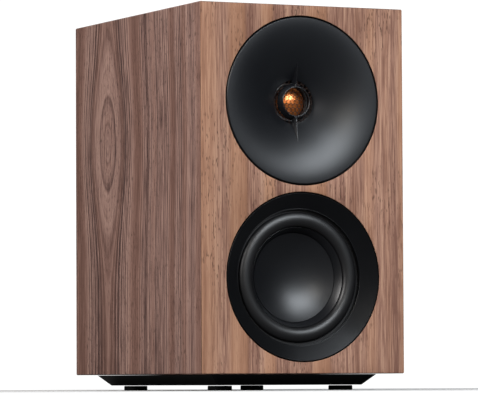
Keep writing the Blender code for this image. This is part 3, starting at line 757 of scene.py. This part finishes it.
# %% Ring and blades
WALL_MOUTH, WALL_THROAT, WALL_DEPTH, WALL_POWER = 66.6, 17.5, 17.0, 1.83
BLADE_TIP, RING_RADIUS, RING_FRONT = 31.6, 11.9, 11.4


def horn_depth(radius):
    """Depth of the horn's wall in millimetres, a shade too deep so that a blade's foot sinks into it."""
    way = max(0.0, min(1.0, (WALL_MOUTH - radius) / (WALL_MOUTH - WALL_THROAT)))
    return WALL_DEPTH * way**WALL_POWER


def blade(bm, side):
    """Adds one blade to a bmesh, above the ring for a side of 1 and below it for -1."""
    sections = []
    count = 40
    for i in range(count + 1):
        radius = RING_RADIUS - 0.3 + (BLADE_TIP - RING_RADIUS + 0.3) * i / count
        t = (radius - RING_RADIUS) / (BLADE_TIP - RING_RADIUS)
        foot = min(horn_depth(radius) + 0.15, 16.9)
        front = min(RING_FRONT - (RING_FRONT - horn_depth(BLADE_TIP)) * t, foot)
        fork = (1.5 if side > 0 else 2.4) * math.exp(-max(0.0, radius - RING_RADIUS) / 1.1)
        front_half = 0.22 + fork
        foot_half = front_half + 0.22 * (foot - front)
        section = []
        for half, depth in ((-foot_half, foot), (-front_half, front + 0.25), (-front_half * 0.5, front)):
            section.append((half, depth))
        section += [(-half, depth) for half, depth in reversed(section)]
        points = [TWEETER + Vector((x, depth, side * radius)) * MM for x, depth in section]
        sections.append([bm.verts.new(point) for point in points])
    for first, second in zip(sections, sections[1:]):
        for i in range(len(first)):
            j = (i + 1) % len(first)
            bm.faces.new((first[i], first[j], second[j], second[i]))
    bm.faces.new(sections[0])
    bm.faces.new(sections[-1])


def phase_ring():
    """The thin cone in front of the dome, with both of its blades."""
    profile = [(11.4, 11.75), (11.55, 11.5), (11.8, 11.4), (12.05, 11.5), (12.3, 11.9)]
    profile += [(14.6, 16.9), (13.8, 16.9), (11.5, 12.4)]
    ring = turned("phase_ring_and_blades", rounded_profile(profile, 0.15), TWEETER, 128)
    bm = bmesh.new()
    bm.from_mesh(ring.data)
    for side in (-1, 1):
        blade(bm, side)
    bpy.data.objects.remove(ring)
    return new_object("phase_ring_and_blades", bm, 40)


ring = phase_ring()
RING_BLACK = moulded("phase_ring_black", (0.004, 0.0045, 0.006), 0.27, spread=0.04, Specular_IOR_Level=0.75)
finish_piece(ring, "cabinet", "phase_ring", paint=RING_BLACK, slot="waveguide_plastic")
print("ring and blades:", len(ring.data.polygons), "faces")

# %% [markdown]
# ## The hexagonal guard
# The guard is a punched sheet. Its cells are the dual of a triangle grid: when every corner of a triangle
# mesh becomes a face, regular hexagons come out. Each hexagon is then inset by an extrusion of no height,
# shrunk and deleted, which leaves the wires. Cells beyond the clamped rim are dropped. A picture of holes
# on a disc would be lighter, but it would have no thickness and no shadow.


# %% Guard
GUARD_DEPTH, GUARD_THICKNESS = 0.0174, 0.00045


def guard_wires():
    """The open sheet of hexagons. Opening is the width of a hole as a share of its cell's."""
    sizes = {
        "Pitch": ("NodeSocketFloat", 0.00365),
        "Reach": ("NodeSocketFloat", 0.0198),
        "Opening": ("NodeSocketFloat", 0.885),
    }
    tree = Tree("guard cells", sizes)
    count = 15
    squares = {"Size X": count - 1.0, "Size Y": count - 1.0, "Vertices X": count, "Vertices Y": count}
    grid = tree.node("GeometryNodeMeshGrid", {}, squares)
    split = tree.node("ShaderNodeSeparateXYZ", {}, {0: tree.node("GeometryNodeInputPosition")}).node
    skewed = tree.maths("ADD", split.outputs[0], tree.maths("MULTIPLY", split.outputs[1], 0.5))
    x = tree.maths("MULTIPLY", skewed, tree.size("Pitch"))
    z = tree.maths("MULTIPLY", tree.maths("MULTIPLY", split.outputs[1], math.sqrt(3) / 2), tree.size("Pitch"))
    lattice = tree.node("ShaderNodeCombineXYZ", {}, {0: x, 1: z})
    sheared = tree.node("GeometryNodeSetPosition", {}, {"Geometry": grid, "Position": lattice})
    triangles = tree.node("GeometryNodeTriangulate", {"quad_method": "SHORTEST_DIAGONAL"}, {0: sheared})
    cells = tree.node("GeometryNodeDualMesh", {}, {0: triangles})
    place = tree.node("GeometryNodeInputPosition")
    length = tree.node("ShaderNodeVectorMath", {"operation": "LENGTH"}, {0: place}, output="Value")
    beyond = {"data_type": "FLOAT", "operation": "GREATER_THAN"}
    far = tree.node("FunctionNodeCompare", beyond, {0: length, 1: tree.size("Reach")})
    kept = tree.node("GeometryNodeDeleteGeometry", {"domain": "FACE"}, {"Geometry": cells, "Selection": far})
    each = {"Mesh": kept, "Offset Scale": 0.0, "Individual": True}
    inset = tree.node("GeometryNodeExtrudeMesh", {"mode": "FACES"}, each).node
    sheet, holes = inset.outputs["Mesh"], inset.outputs["Top"]
    smaller = {"Geometry": sheet, "Selection": holes, "Scale": tree.size("Opening")}
    shrunk = tree.node("GeometryNodeScaleElements", {"domain": "FACE"}, smaller)
    punched = {"Geometry": shrunk, "Selection": holes}
    wires = tree.node("GeometryNodeDeleteGeometry", {"domain": "FACE"}, punched)
    upright = tree.node("GeometryNodeTransform", {}, {"Geometry": wires, "Rotation": (math.pi / 2, 0, 0)})
    seat = tuple(TWEETER + Vector((0, GUARD_DEPTH, 0)))
    placed = tree.node("GeometryNodeTransform", {}, {"Geometry": upright, "Translation": seat})
    return tree.grown("tweeter_guard_wires", placed, GUARD_BLACK)


GUARD_BLACK = moulded("guard_black_enamel", (0.014, 0.005, 0.003), 0.34, Specular_IOR_Level=0.22)
guard = guard_wires()
wall_with_thickness(guard, GUARD_THICKNESS)
finish_piece(guard, "cabinet", "tweeter_guard", slot="guard_mesh")
print("guard:", len(guard.data.polygons), "faces")


# %% [markdown]
# ## The dome
# The dome is drawn from thin metal foil with a copper-coloured skin. It is smooth enough to throw back a
# soft bright patch, so its finish is metallic under a thin clear coat. A fine noise makes its gloss
# uneven and a broad one shifts its tone. Its skirt is painted dark, as painted shade where it lies deep
# behind the phase ring and the guard. Both of its faces are caps of a sphere.
#
# The rubber roll round it joins a still frame to a dome that moves, so it belongs to two bodies. Its two
# rims could be split into two pieces, but one skin that stretches has no gap. `follow` gives every point a
# share by its distance from the axis: none at the frame, all of it at the dome, and a soft curve between.


# %% Dome and its surround
DOME_RIM, DOME_RISE, DOME_DEPTH, DOME_FOIL = 12.8, 5.4, 24.25, 0.25
# Radii in metres over which the dome's skirt fades into painted shade.
PAINTED_SHADE_FROM, PAINTED_SHADE_TO = 0.0117, 0.0127


def copper_dome():
    """Copper-coloured foil, with painted shade round its skirt."""
    paint = Paint("copper_dome_foil", (0.92, 0.36, 0.09), 0.34, 0.8)
    here = paint.place(move=tuple(-TWEETER))
    fine = paint.noise(here, 2400, 3)
    broad = paint.noise(here, 130, 2)
    colour = paint.mix(broad, (1.0, 0.36, 0.10), (0.85, 0.19, 0.03))
    across, up = paint.axis("x") - TWEETER.x, paint.axis("z") - TWEETER.z
    # Painted shade: the skirt lies deep behind the phase ring and the guard, so its colour is darkened.
    skirt = ((across * across + up * up) ** 0.5).between(PAINTED_SHADE_FROM, PAINTED_SHADE_TO)
    paint.set("Base Color", paint.mix(skirt, colour, (0.02, 0.008, 0.004)))
    paint.set("Coat Weight", 0.6)
    paint.set("Coat Roughness", 0.2)
    paint.set("Roughness", fine * 0.10 + 0.30)
    paint.bump(fine, 0.2, 0.00001)
    return paint.material


def cap(rim, rise, rim_depth, steps):
    """Points of a spherical cap from its rim to the axis, bulging forwards for a positive rise."""
    radius = (rim * rim + rise * rise) / (2 * abs(rise))
    sign = 1 if rise > 0 else -1
    points = []
    for i in range(steps + 1):
        reach = rim * (1 - i / steps)
        points.append((reach, rim_depth - sign * (math.sqrt(radius**2 - reach**2) - (radius - abs(rise)))))
    return points


COPPER_DOME = copper_dome()
front = cap(DOME_RIM, DOME_RISE, DOME_DEPTH, 24)
back = [(radius, depth + DOME_FOIL) for radius, depth in reversed(front)]
dome = turned("tweeter_dome_foil", [*front, *back], TWEETER, 96)
finish_piece(dome, "tweeter_diaphragm", "tweeter_dome", paint=COPPER_DOME, slot="dome")


def half_roll(centre, half, crest, base, steps):
    """Points over a roll from its outer foot to its inner one. crest and base are depths."""
    return [
        (centre + half * math.cos(math.pi * i / steps), base - (base - crest) * math.sin(math.pi * i / steps))
        for i in range(steps + 1)
    ]


def follow(piece, body, centre, held, moving):
    """Keeps a piece still beyond the radius `held` and moves it with the body within `moving`."""
    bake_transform(piece, "cabinet", body, centre + Vector((held, 0, 0)), centre + Vector((moving, 0, 0)))
    for vert, share in zip(piece.data.vertices, piece.data.attributes["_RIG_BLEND"].data):
        away = vert.co - centre
        part = min(1.0, max(0.0, (held - math.hypot(away.x, away.z)) / (held - moving)))
        share.value = part * part * (3 - 2 * part)


outer = half_roll(15.0, 1.9, 22.6, 24.2, 12)
inner = half_roll(15.0, 1.6, 22.9, 24.2, 12)
skirt = [(20.3, 24.2), *outer, (13.0, 24.2), (13.0, 24.55), *reversed(inner), (16.9, 24.55), (20.3, 24.55)]
surround = turned("tweeter_surround_roll", skirt, TWEETER, 96)
finish_piece(surround, None, "tweeter_surround", paint=RUBBER_BLACK, slot="black_rubber")
follow(surround, "tweeter_diaphragm", TWEETER, 0.0169, 0.0131)
print("dome rises", round(DOME_DEPTH - min(depth for radius, depth in front), 2), "mm")

# %% [markdown]
# ## The woofer
# The trim ring is a plain cone with a thin lip at its inner edge. Inside it lie the half-roll rubber
# surround, the steep wall of the cone and the large concave bowl that covers the voice coil. All of them
# are turned, with enough points on each curve that the soft highlight stays smooth. Subdivision would
# smooth a coarser profile too, but then the crisp lip would need creases.

# %% Trim ring, surround, cone and bowl
trim = [(66.7, 0.3), (54.9, 8.0), (54.5, 7.9), (54.2, 8.1), (54.2, 10.3), (55.9, 10.3), (59.0, 8.1)]
trim += [(66.95, 8.1), (66.95, 0.6)]
trim_ring = turned("woofer_trim_ring_finished", rounded_profile(trim, 0.25), WOOFER)
finish_piece(trim_ring, "cabinet", "woofer_trim_ring", paint=TRIM_BLACK, slot="trim_plastic")

outer = half_roll(46.3, 6.0, 7.7, 11.7, 28)
inner = half_roll(46.3, 5.2, 8.6, 11.9, 28)
roll = [(56.0, 11.6), (53.4, 11.7), *outer, (40.25, 11.9)]
roll += [(40.25, 12.6), *reversed(inner), (52.6, 12.5), (56.0, 12.5)]
woofer_surround = turned("woofer_surround_roll", roll, WOOFER)
finish_piece(woofer_surround, None, "woofer_surround", paint=RUBBER_BLACK, slot="black_rubber")
follow(woofer_surround, "woofer_diaphragm", WOOFER, 0.0523, 0.0403)

wall = [(40.0, 11.3), (38.1, 13.8), (35.9, 17.3), (35.9, 18.9), (30, 23.2), (24, 27.6), (18, 31.4)]
wall += [(16.8, 32.6), (16.8, 34.2), (18.4, 32.9), (24.6, 28.7), (30.8, 24.3), (36.9, 19.3), (36.9, 17.5)]
wall += [(39.2, 14.4), (40.0, 12.9)]
cone = turned("woofer_cone_wall", rounded_profile(wall, 0.3), WOOFER)
finish_piece(cone, "woofer_diaphragm", "woofer_cone", paint=CONE_BLACK, slot="cone")

BOWL_RIM, BOWL_SINK, BOWL_DEPTH, BOWL_WALL = 35.55, 9.6, 17.4, 0.8
face = cap(BOWL_RIM, -BOWL_SINK, BOWL_DEPTH, 40)
back = [(radius, depth + BOWL_WALL) for radius, depth in reversed(face)]
bowl = turned("woofer_bowl", [*face, *back], WOOFER)
finish_piece(bowl, "woofer_diaphragm", "woofer_dust_bowl", paint=CONE_BLACK, slot="cone")
print("bowl is", round(max(depth for radius, depth in face) - BOWL_DEPTH, 1), "mm deep")

# %% [markdown]
# ## Plinth and feet
# The plinth is a bevelled slab under the cabinet. Its node in the frame is already right in shape, so a
# merged copy gets broken edges. The feet are short rubber discs with a rounded rim.

# %% Plinth and feet
PLINTH_BREAK = 0.0005
FOOT_RADIUS = 9.75

plinth = new_object("plinth_slab", board_mesh("base_plinth"), 20)
break_edges(plinth, PLINTH_BREAK)
settled(plinth)
finish_piece(plinth, "cabinet", "base_plinth", paint=PLINTH_BLACK, slot="satin_black_base")

for number in range(1, 5):
    low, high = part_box(f"foot_{number}")
    height = (high.z - low.z) / MM
    disc = [(0, 0), (FOOT_RADIUS, 0), (FOOT_RADIUS, height), (0, height)]
    foot = turned(f"foot_{number}_disc", rounded_profile(disc, 0.8, 4, closed=False), Vector(), 72)
    upright = Matrix.Translation(Vector(((low.x + high.x) / 2, (low.y + high.y) / 2, low.z)))
    foot.data.transform(upright @ Matrix.Rotation(math.pi / 2, 4, "X"))
    finish_piece(foot, "cabinet", f"foot_{number}", paint=FOOT_BLACK, slot="black_rubber")
print("feet are", round(height, 1), "mm high and", 2 * FOOT_RADIUS, "mm across")

# %% [markdown]
# ## Rear fittings
# The port's mouth is flared so that the air doesn't chuff. The tray below it is one moulding let into the
# board. Each terminal is a gold-plated stud with a loose washer and a fluted knob, red for plus and black
# for minus. The flutes are a cosine added to the knob's radius, which gives soft grips without a cutter.


# %% Port and tray
def radial_arc(centre_radius, centre_depth, size, start, end, steps):
    """An arc of (radius, depth) points, with angles in degrees."""
    angles = [math.radians(start + (end - start) * i / steps) for i in range(steps + 1)]
    return [(centre_radius + size * math.cos(a), centre_depth + size * math.sin(a)) for a in angles]


low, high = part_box("port_tube")
length = (high.y - low.y) / MM
mouth = radial_arc(31.5, -9.5, 9.5, 90, 180, 16)
inner_end = radial_arc(26, -length + 4, 4, 180, 270, 8)
port = [(34.85, -2.5), (34.85, 0), *mouth, (22.0, -17), (22.0, -length + 8), *inner_end]
port += [(26.0, -length + 2.4), (24.2, -length + 9), (24.2, -2.5)]
port_tube = turned("port_with_flare", rounded_profile(port, 0.4), PORT)
finish_piece(port_tube, "cabinet", "port_tube", paint=MOULDED_BLACK, slot="waveguide_plastic")

tray_rows = [(36.5, 26.5, 4, -32.5), (38, 28, 5, -30), (38, 28, 5, -2.3), (46, 36, 8, -2.3)]
tray_rows += [(46, 36, 8, -0.6), (45.8, 35.8, 7.8, -0.2), (45.4, 35.4, 7.4, 0), (37.4, 27.4, 5.2, 0)]
tray_rows += [(36.9, 26.9, 4.7, -0.2), (36.6, 26.6, 4.4, -0.6), (34.4, 24.4, 4.2, -27.0)]
tray_rows += [(33.8, 23.8, 4.0, -29.2), (32.6, 22.6, 3.2, -30)]
tray = loft("terminal_tray", tray_rows, TRAY)
for side in (-1, 1):
    drill = [(0, -36), (2.4, -36), (2.4, -25), (0, -25)]
    cut(tray, turned("stud_hole", drill, TRAY + Vector((side * 15 * MM, 0, 0)), 32))
shade(tray.data)
finish_piece(tray, "cabinet", "terminal_cup", paint=MOULDED_BLACK, slot="waveguide_plastic")
print("port is", round(length), "mm long")


# %% Terminals
def plated(name, colour, roughness, scratch=600):
    """Plated or bare metal with fine scratches in its gloss, its tone and its bump."""
    paint = Paint(name, colour, roughness, 1.0)
    lines = paint.noise(paint.place(scale=(1, 0.1, 1)), scratch, 3)
    paint.set("Roughness", lines * 0.2 + (roughness - 0.1))
    paint.set("Base Color", paint.mix(lines, colour, tuple(0.8 * channel for channel in colour)))
    paint.bump(lines, 0.15, 0.00002)
    return paint.material


GOLD = plated("gold_plate", (0.83, 0.60, 0.22), 0.24)
ZINC = plated("zinc_plated_steel", (0.56, 0.57, 0.58), 0.34)
KNOB_RED = moulded("knob_red", (0.45, 0.012, 0.012), 0.28, Coat_Weight=0.3)
KNOB_BLACK = moulded("knob_black", (0.012, 0.012, 0.012), 0.28, Coat_Weight=0.3)
FLUTES, FLUTE_DEPTH, PLAIN_RADIUS = 18, 0.28, 6.0


def flutes(angle, radius):
    """What the grips take from the knob's radius, outside its plain middle."""
    return FLUTE_DEPTH * math.cos(FLUTES * angle) - FLUTE_DEPTH if radius > PLAIN_RADIUS else 0.0


for colour, side, paint in (("red", 1, KNOB_RED), ("black", -1, KNOB_BLACK)):
    place = Vector((side * 0.015, BACK - 0.030, TRAY.z))
    stud = [(0, -9), (2.05, -9), (2.05, 0.3), (5.2, 0.3), (5.2, 2.6), (2.05, 2.6), (2.05, 13.2)]
    stud += [(1.2, 14.2), (0, 14.2)]
    piece = turned(f"{colour}_stud_turned", rounded_profile(stud, 0.25, closed=False), place, 48)
    finish_piece(piece, "cabinet", f"{colour}_stud", paint=GOLD, slot="gold_plate")
    washer = [(2.2, 2.9), (6.0, 2.9), (6.0, 3.9), (2.2, 3.9)]
    piece = turned(f"{colour}_washer_turned", rounded_profile(washer, 0.2), place, 64)
    finish_piece(piece, f"{colour}_clamp", f"{colour}_washer", paint=GOLD, slot="gold_plate")
    knob = [(2.2, 4.2), (6.3, 4.2), (6.75, 5.0), (6.75, 6.2), (6.75, 17.0), (6.75, 18.2), (5.9, 19.3)]
    knob += [(3.1, 19.3), (2.2, 18.4)]
    piece = turned(f"{colour}_knob_fluted", rounded_profile(knob, 0.35), place, 144, flutes)
    finish_piece(piece, f"{colour}_terminal", f"{colour}_knob", paint=paint, slot=f"{colour}_knob_plastic")
print("each knob has", FLUTES, "flutes,", 2 * FLUTE_DEPTH, "mm deep")

# %% [markdown]
# ## What stays as it is
# The remaining nodes lie inside the cabinet and their shapes are right already, so they keep their frame
# meshes and only get a finish: ground ferrite, enamelled copper, powder-coated steel, board and sleeve.
# The spider is the exception. It is a ring of stiff cloth that centres the voice coil, so its inner rim
# moves with the cone. A merged copy of its mesh stands in for it and follows, as the surrounds do.


# %% Inner finishes
WEAVE_SCALE = 1400 / 6


def woven(name, light, dark):
    """Cloth: two crossed waves of thread."""
    paint = Paint(name, light, 0.85)
    here = paint.place()
    wave = {"Vector": here, "Scale": WEAVE_SCALE, "Distortion": 0.4, "Detail": 1.0}
    warp = paint.node("ShaderNodeTexWave", {"bands_direction": "X"}, wave, output="Fac")
    weft = paint.node("ShaderNodeTexWave", {"bands_direction": "Z"}, wave, output="Fac")
    weave = (warp + weft) * 0.5
    paint.set("Base Color", paint.mix(weave, dark, light))
    paint.bump(weave, 0.5, 0.0001)
    return paint.material


def speckled(name, colour, roughness, scale, contrast=0.5):
    """A grainy skin. contrast is the share of the colour that its darkest grains keep."""
    paint = Paint(name, colour, roughness)
    grains = paint.noise(paint.place(), scale, 4, 0.6)
    darker = tuple(contrast * channel for channel in colour)
    paint.set("Base Color", paint.mix(grains.between(0.4, 0.6), darker, colour))
    paint.bump(grains, 0.3, 0.00005)
    return paint.material


FERRITE = speckled("ground_ferrite", (0.05, 0.05, 0.055), 0.6, 1500)
COPPER = plated("enamelled_copper", (0.62, 0.25, 0.10), 0.32, 2500)
POWDER = speckled("powder_coated_steel", (0.02, 0.02, 0.021), 0.5, 2500, 0.7)
SPIDER = woven("resined_cloth", (0.55, 0.36, 0.10), (0.32, 0.19, 0.05))
BOARD = speckled("solder_mask", (0.02, 0.16, 0.07), 0.35, 300, 0.8)
SLEEVE = moulded("capacitor_sleeve", (0.03, 0.06, 0.28), 0.3)
CERAMIC = speckled("resistor_ceramic", (0.75, 0.73, 0.68), 0.8, 900, 0.85)
GASKET = speckled("foam_gasket", (0.03, 0.03, 0.03), 0.95, 2000)
INNER = {
    "window_brace": FIBREBOARD,
    "tweeter_faceplate": MOULDED_BLACK,
    "tweeter_rear_chamber": MOULDED_BLACK,
    "tweeter_voice_coil": COPPER,
    "tweeter_top_plate": ZINC,
    "tweeter_magnet": FERRITE,
    "tweeter_yoke": ZINC,
    "woofer_basket": POWDER,
    "woofer_gasket": GASKET,
    "woofer_voice_coil": COPPER,
    "woofer_top_plate": ZINC,
    "woofer_magnet": FERRITE,
    "woofer_yoke": ZINC,
    "crossover_board": BOARD,
    "crossover_inductor": COPPER,
    "crossover_capacitor": SLEEVE,
    "crossover_resistor": CERAMIC,
    "woofer_lead": RUBBER_BLACK,
    "tweeter_lead": RUBBER_BLACK,
}
spider = new_object("woofer_spider_cloth", board_mesh("woofer_spider"), 40)
settled(spider)
finish_piece(spider, None, "woofer_spider", paint=SPIDER, slot="spider_cloth")
reach = [math.hypot(vert.co.x - WOOFER.x, vert.co.z - WOOFER.z) for vert in spider.data.vertices]
follow(spider, "woofer_diaphragm", WOOFER, max(reach) - 0.004, min(reach) + 0.002)
for prefix, count in (("waveguide", 4), ("woofer", 4), ("tweeter", 2)):
    INNER.update({f"{prefix}_screw_{i}": ZINC for i in range(1, count + 1)})
for node, material in INNER.items():
    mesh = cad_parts[node].data
    mesh.materials.clear()
    mesh.materials.append(material)
print("frame nodes that only get a finish:", len(INNER))

# %% [markdown]
# ## Wadding
# Loose polyester fibre lines both walls. A pad is a soft form with rounded, slightly lumpy faces. It
# could be pressed into shape as a cloth, but the pads are out of sight, so a box is divided and its
# points are pushed in and out by a smooth sum of waves.


# %% Pads
def wadding_paint():
    """Matt white fibre with a deep, tangled bump."""
    paint = Paint("polyester_wadding", (0.72, 0.72, 0.70), 0.95)
    fibres = paint.noise(paint.place(scale=(1, 1, 0.35)), 420, 6, 0.75, 1.2)
    paint.set("Base Color", paint.mix(fibres.between(0.3, 0.7), (0.52, 0.52, 0.50), (0.80, 0.80, 0.78)))
    paint.bump(fibres, 0.9, 0.0012)
    return paint.material


WADDING = wadding_paint()


def pad(node):
    """A lumpy pad in a frame node's box, thinner towards its edges."""
    low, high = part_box(node)
    centre, half = (low + high) / 2, (high - low) / 2
    bm = bmesh.new()
    bmesh.ops.create_cube(bm, size=2.0)
    bmesh.ops.subdivide_edges(bm, edges=bm.edges[:], cuts=28, use_grid_fill=True)
    for vert in bm.verts:
        u, v = vert.co.y, vert.co.z
        crown = (1 - abs(u) ** 6) * (1 - abs(v) ** 6)
        lump = 0.5 + 0.5 * math.sin(7.0 * u + 1.3) * math.cos(5.0 * v + 0.4)
        thick = vert.co.x * (0.45 + 0.35 * crown + 0.16 * lump)
        pinch = 1 - 0.035 * abs(vert.co.x) - 0.02 * math.cos(3 * math.pi * u) * math.cos(3 * math.pi * v)
        vert.co = centre + Vector((thick * half.x, u * pinch * half.y, v * pinch * half.z))
    return new_object(node + "_pad", bm, 60)


for node in ("damping_left", "damping_right"):
    piece = pad(node)
    finish_piece(piece, "cabinet", node, paint=WADDING, slot="wadding")
print("each pad has", len(piece.data.polygons), "faces")

# %% [markdown]
# ## Studio
# The paper on the table is one pale disc that fades into white towards its rim. From the low camera it is
# seen almost edge-on, and its grey middle is left as one thin line beside the feet. The camera sees
# white above it, but the object is lit by soft boxes and only a little by the room: that is how a
# white picture keeps black plastic black. A Light Path node tells the camera's rays from the others. Each
# box is placed by the direction that it shines from, its distance and its width, and faces the speaker.


# %% Paper and room
PAPER_RADIUS, FADE_FROM, FADE_TO = 1.3, 0.12, 0.85
WHITE = (1.0, 1.0, 1.0, 1.0)
WHITE_LEVEL, ROOM_LEVEL = 1.1, 0.05


def paper():
    """Paper that throws back less light than it shows, and fades to plain white away from the speaker."""
    bm = bmesh.new()
    bmesh.ops.create_circle(bm, cap_ends=True, segments=96, radius=PAPER_RADIUS)
    made = new_object("studio_paper", bm)
    paint = Paint("studio_paper", (0.56, 0.56, 0.56), 0.95)
    paint.set("Specular IOR Level", 0.0)
    far = paint.axis("x") * paint.axis("x") + paint.axis("y") * paint.axis("y")
    white = paint.node("ShaderNodeEmission", {}, {"Color": WHITE, "Strength": WHITE_LEVEL})
    near = Wire(paint, paint.shader.outputs[0])
    fade = (far**0.5).between(FADE_FROM, FADE_TO)
    shown = paint.node("ShaderNodeMixShader", {}, {0: fade, 1: near, 2: white})
    flagged = paint.node("ShaderNodeBsdfDiffuse", {}, {"Color": (0.10, 0.10, 0.10, 1.0)})
    eye = paint.node("ShaderNodeLightPath", output="Is Camera Ray")
    both = paint.node("ShaderNodeMixShader", {}, {0: eye, 1: flagged, 2: shown})
    paint.plug(both, paint.tree.nodes["Material Output"].inputs["Surface"])
    made.data.materials.append(paint.material)


def room(seen, light):
    """White for the eye, and a weaker even light on the object."""
    made = bpy.data.worlds.new("studio")
    made.use_nodes = True
    nodes, links = made.node_tree.nodes, made.node_tree.links
    background = nodes["Background"]
    eye = nodes.new("ShaderNodeLightPath")
    level = nodes.new("ShaderNodeMapRange")
    level.inputs["To Min"].default_value = light
    level.inputs["To Max"].default_value = seen
    background.inputs["Color"].default_value = WHITE
    links.new(eye.outputs["Is Camera Ray"], level.inputs["Value"])
    links.new(level.outputs["Result"], background.inputs["Strength"])
    bpy.context.scene.world = made


def soft_box(name, direction, distance, size, power, colour=(1.0, 1.0, 1.0)):
    """A rectangular lamp that shines on the speaker from a direction."""
    aim = Vector((0, -0.05, 0.16))
    data = bpy.data.lights.new(name, "AREA")
    data.shape, data.size, data.size_y = "RECTANGLE", size[0], size[1]
    data.energy, data.color = power, colour
    made = bpy.data.objects.new(name, data)
    made.location = aim + Vector(direction).normalized() * distance
    made.rotation_euler = (aim - made.location).to_track_quat("-Z", "Y").to_euler()
    bpy.context.scene.collection.objects.link(made)


paper()
room(WHITE_LEVEL, ROOM_LEVEL)
soft_box("key_box", (-0.80, -0.44, 0.40), 1.9, (0.8, 0.8), 29, (1.0, 0.97, 0.95))
soft_box("horn_box", (0.22, -0.84, 0.48), 1.9, (1.1, 0.7), 32, (0.88, 0.94, 1.0))
soft_box("dome_box", (-0.12, -0.94, 0.30), 1.9, (0.35, 0.35), 4.0, (1.0, 0.93, 0.82))
soft_box("overhead_box", (0.0, 0.70, 0.70), 2.0, (1.2, 1.2), 26)
print("soft boxes:", ", ".join(lamp.name for lamp in bpy.data.lights if lamp.name.endswith("_box")))
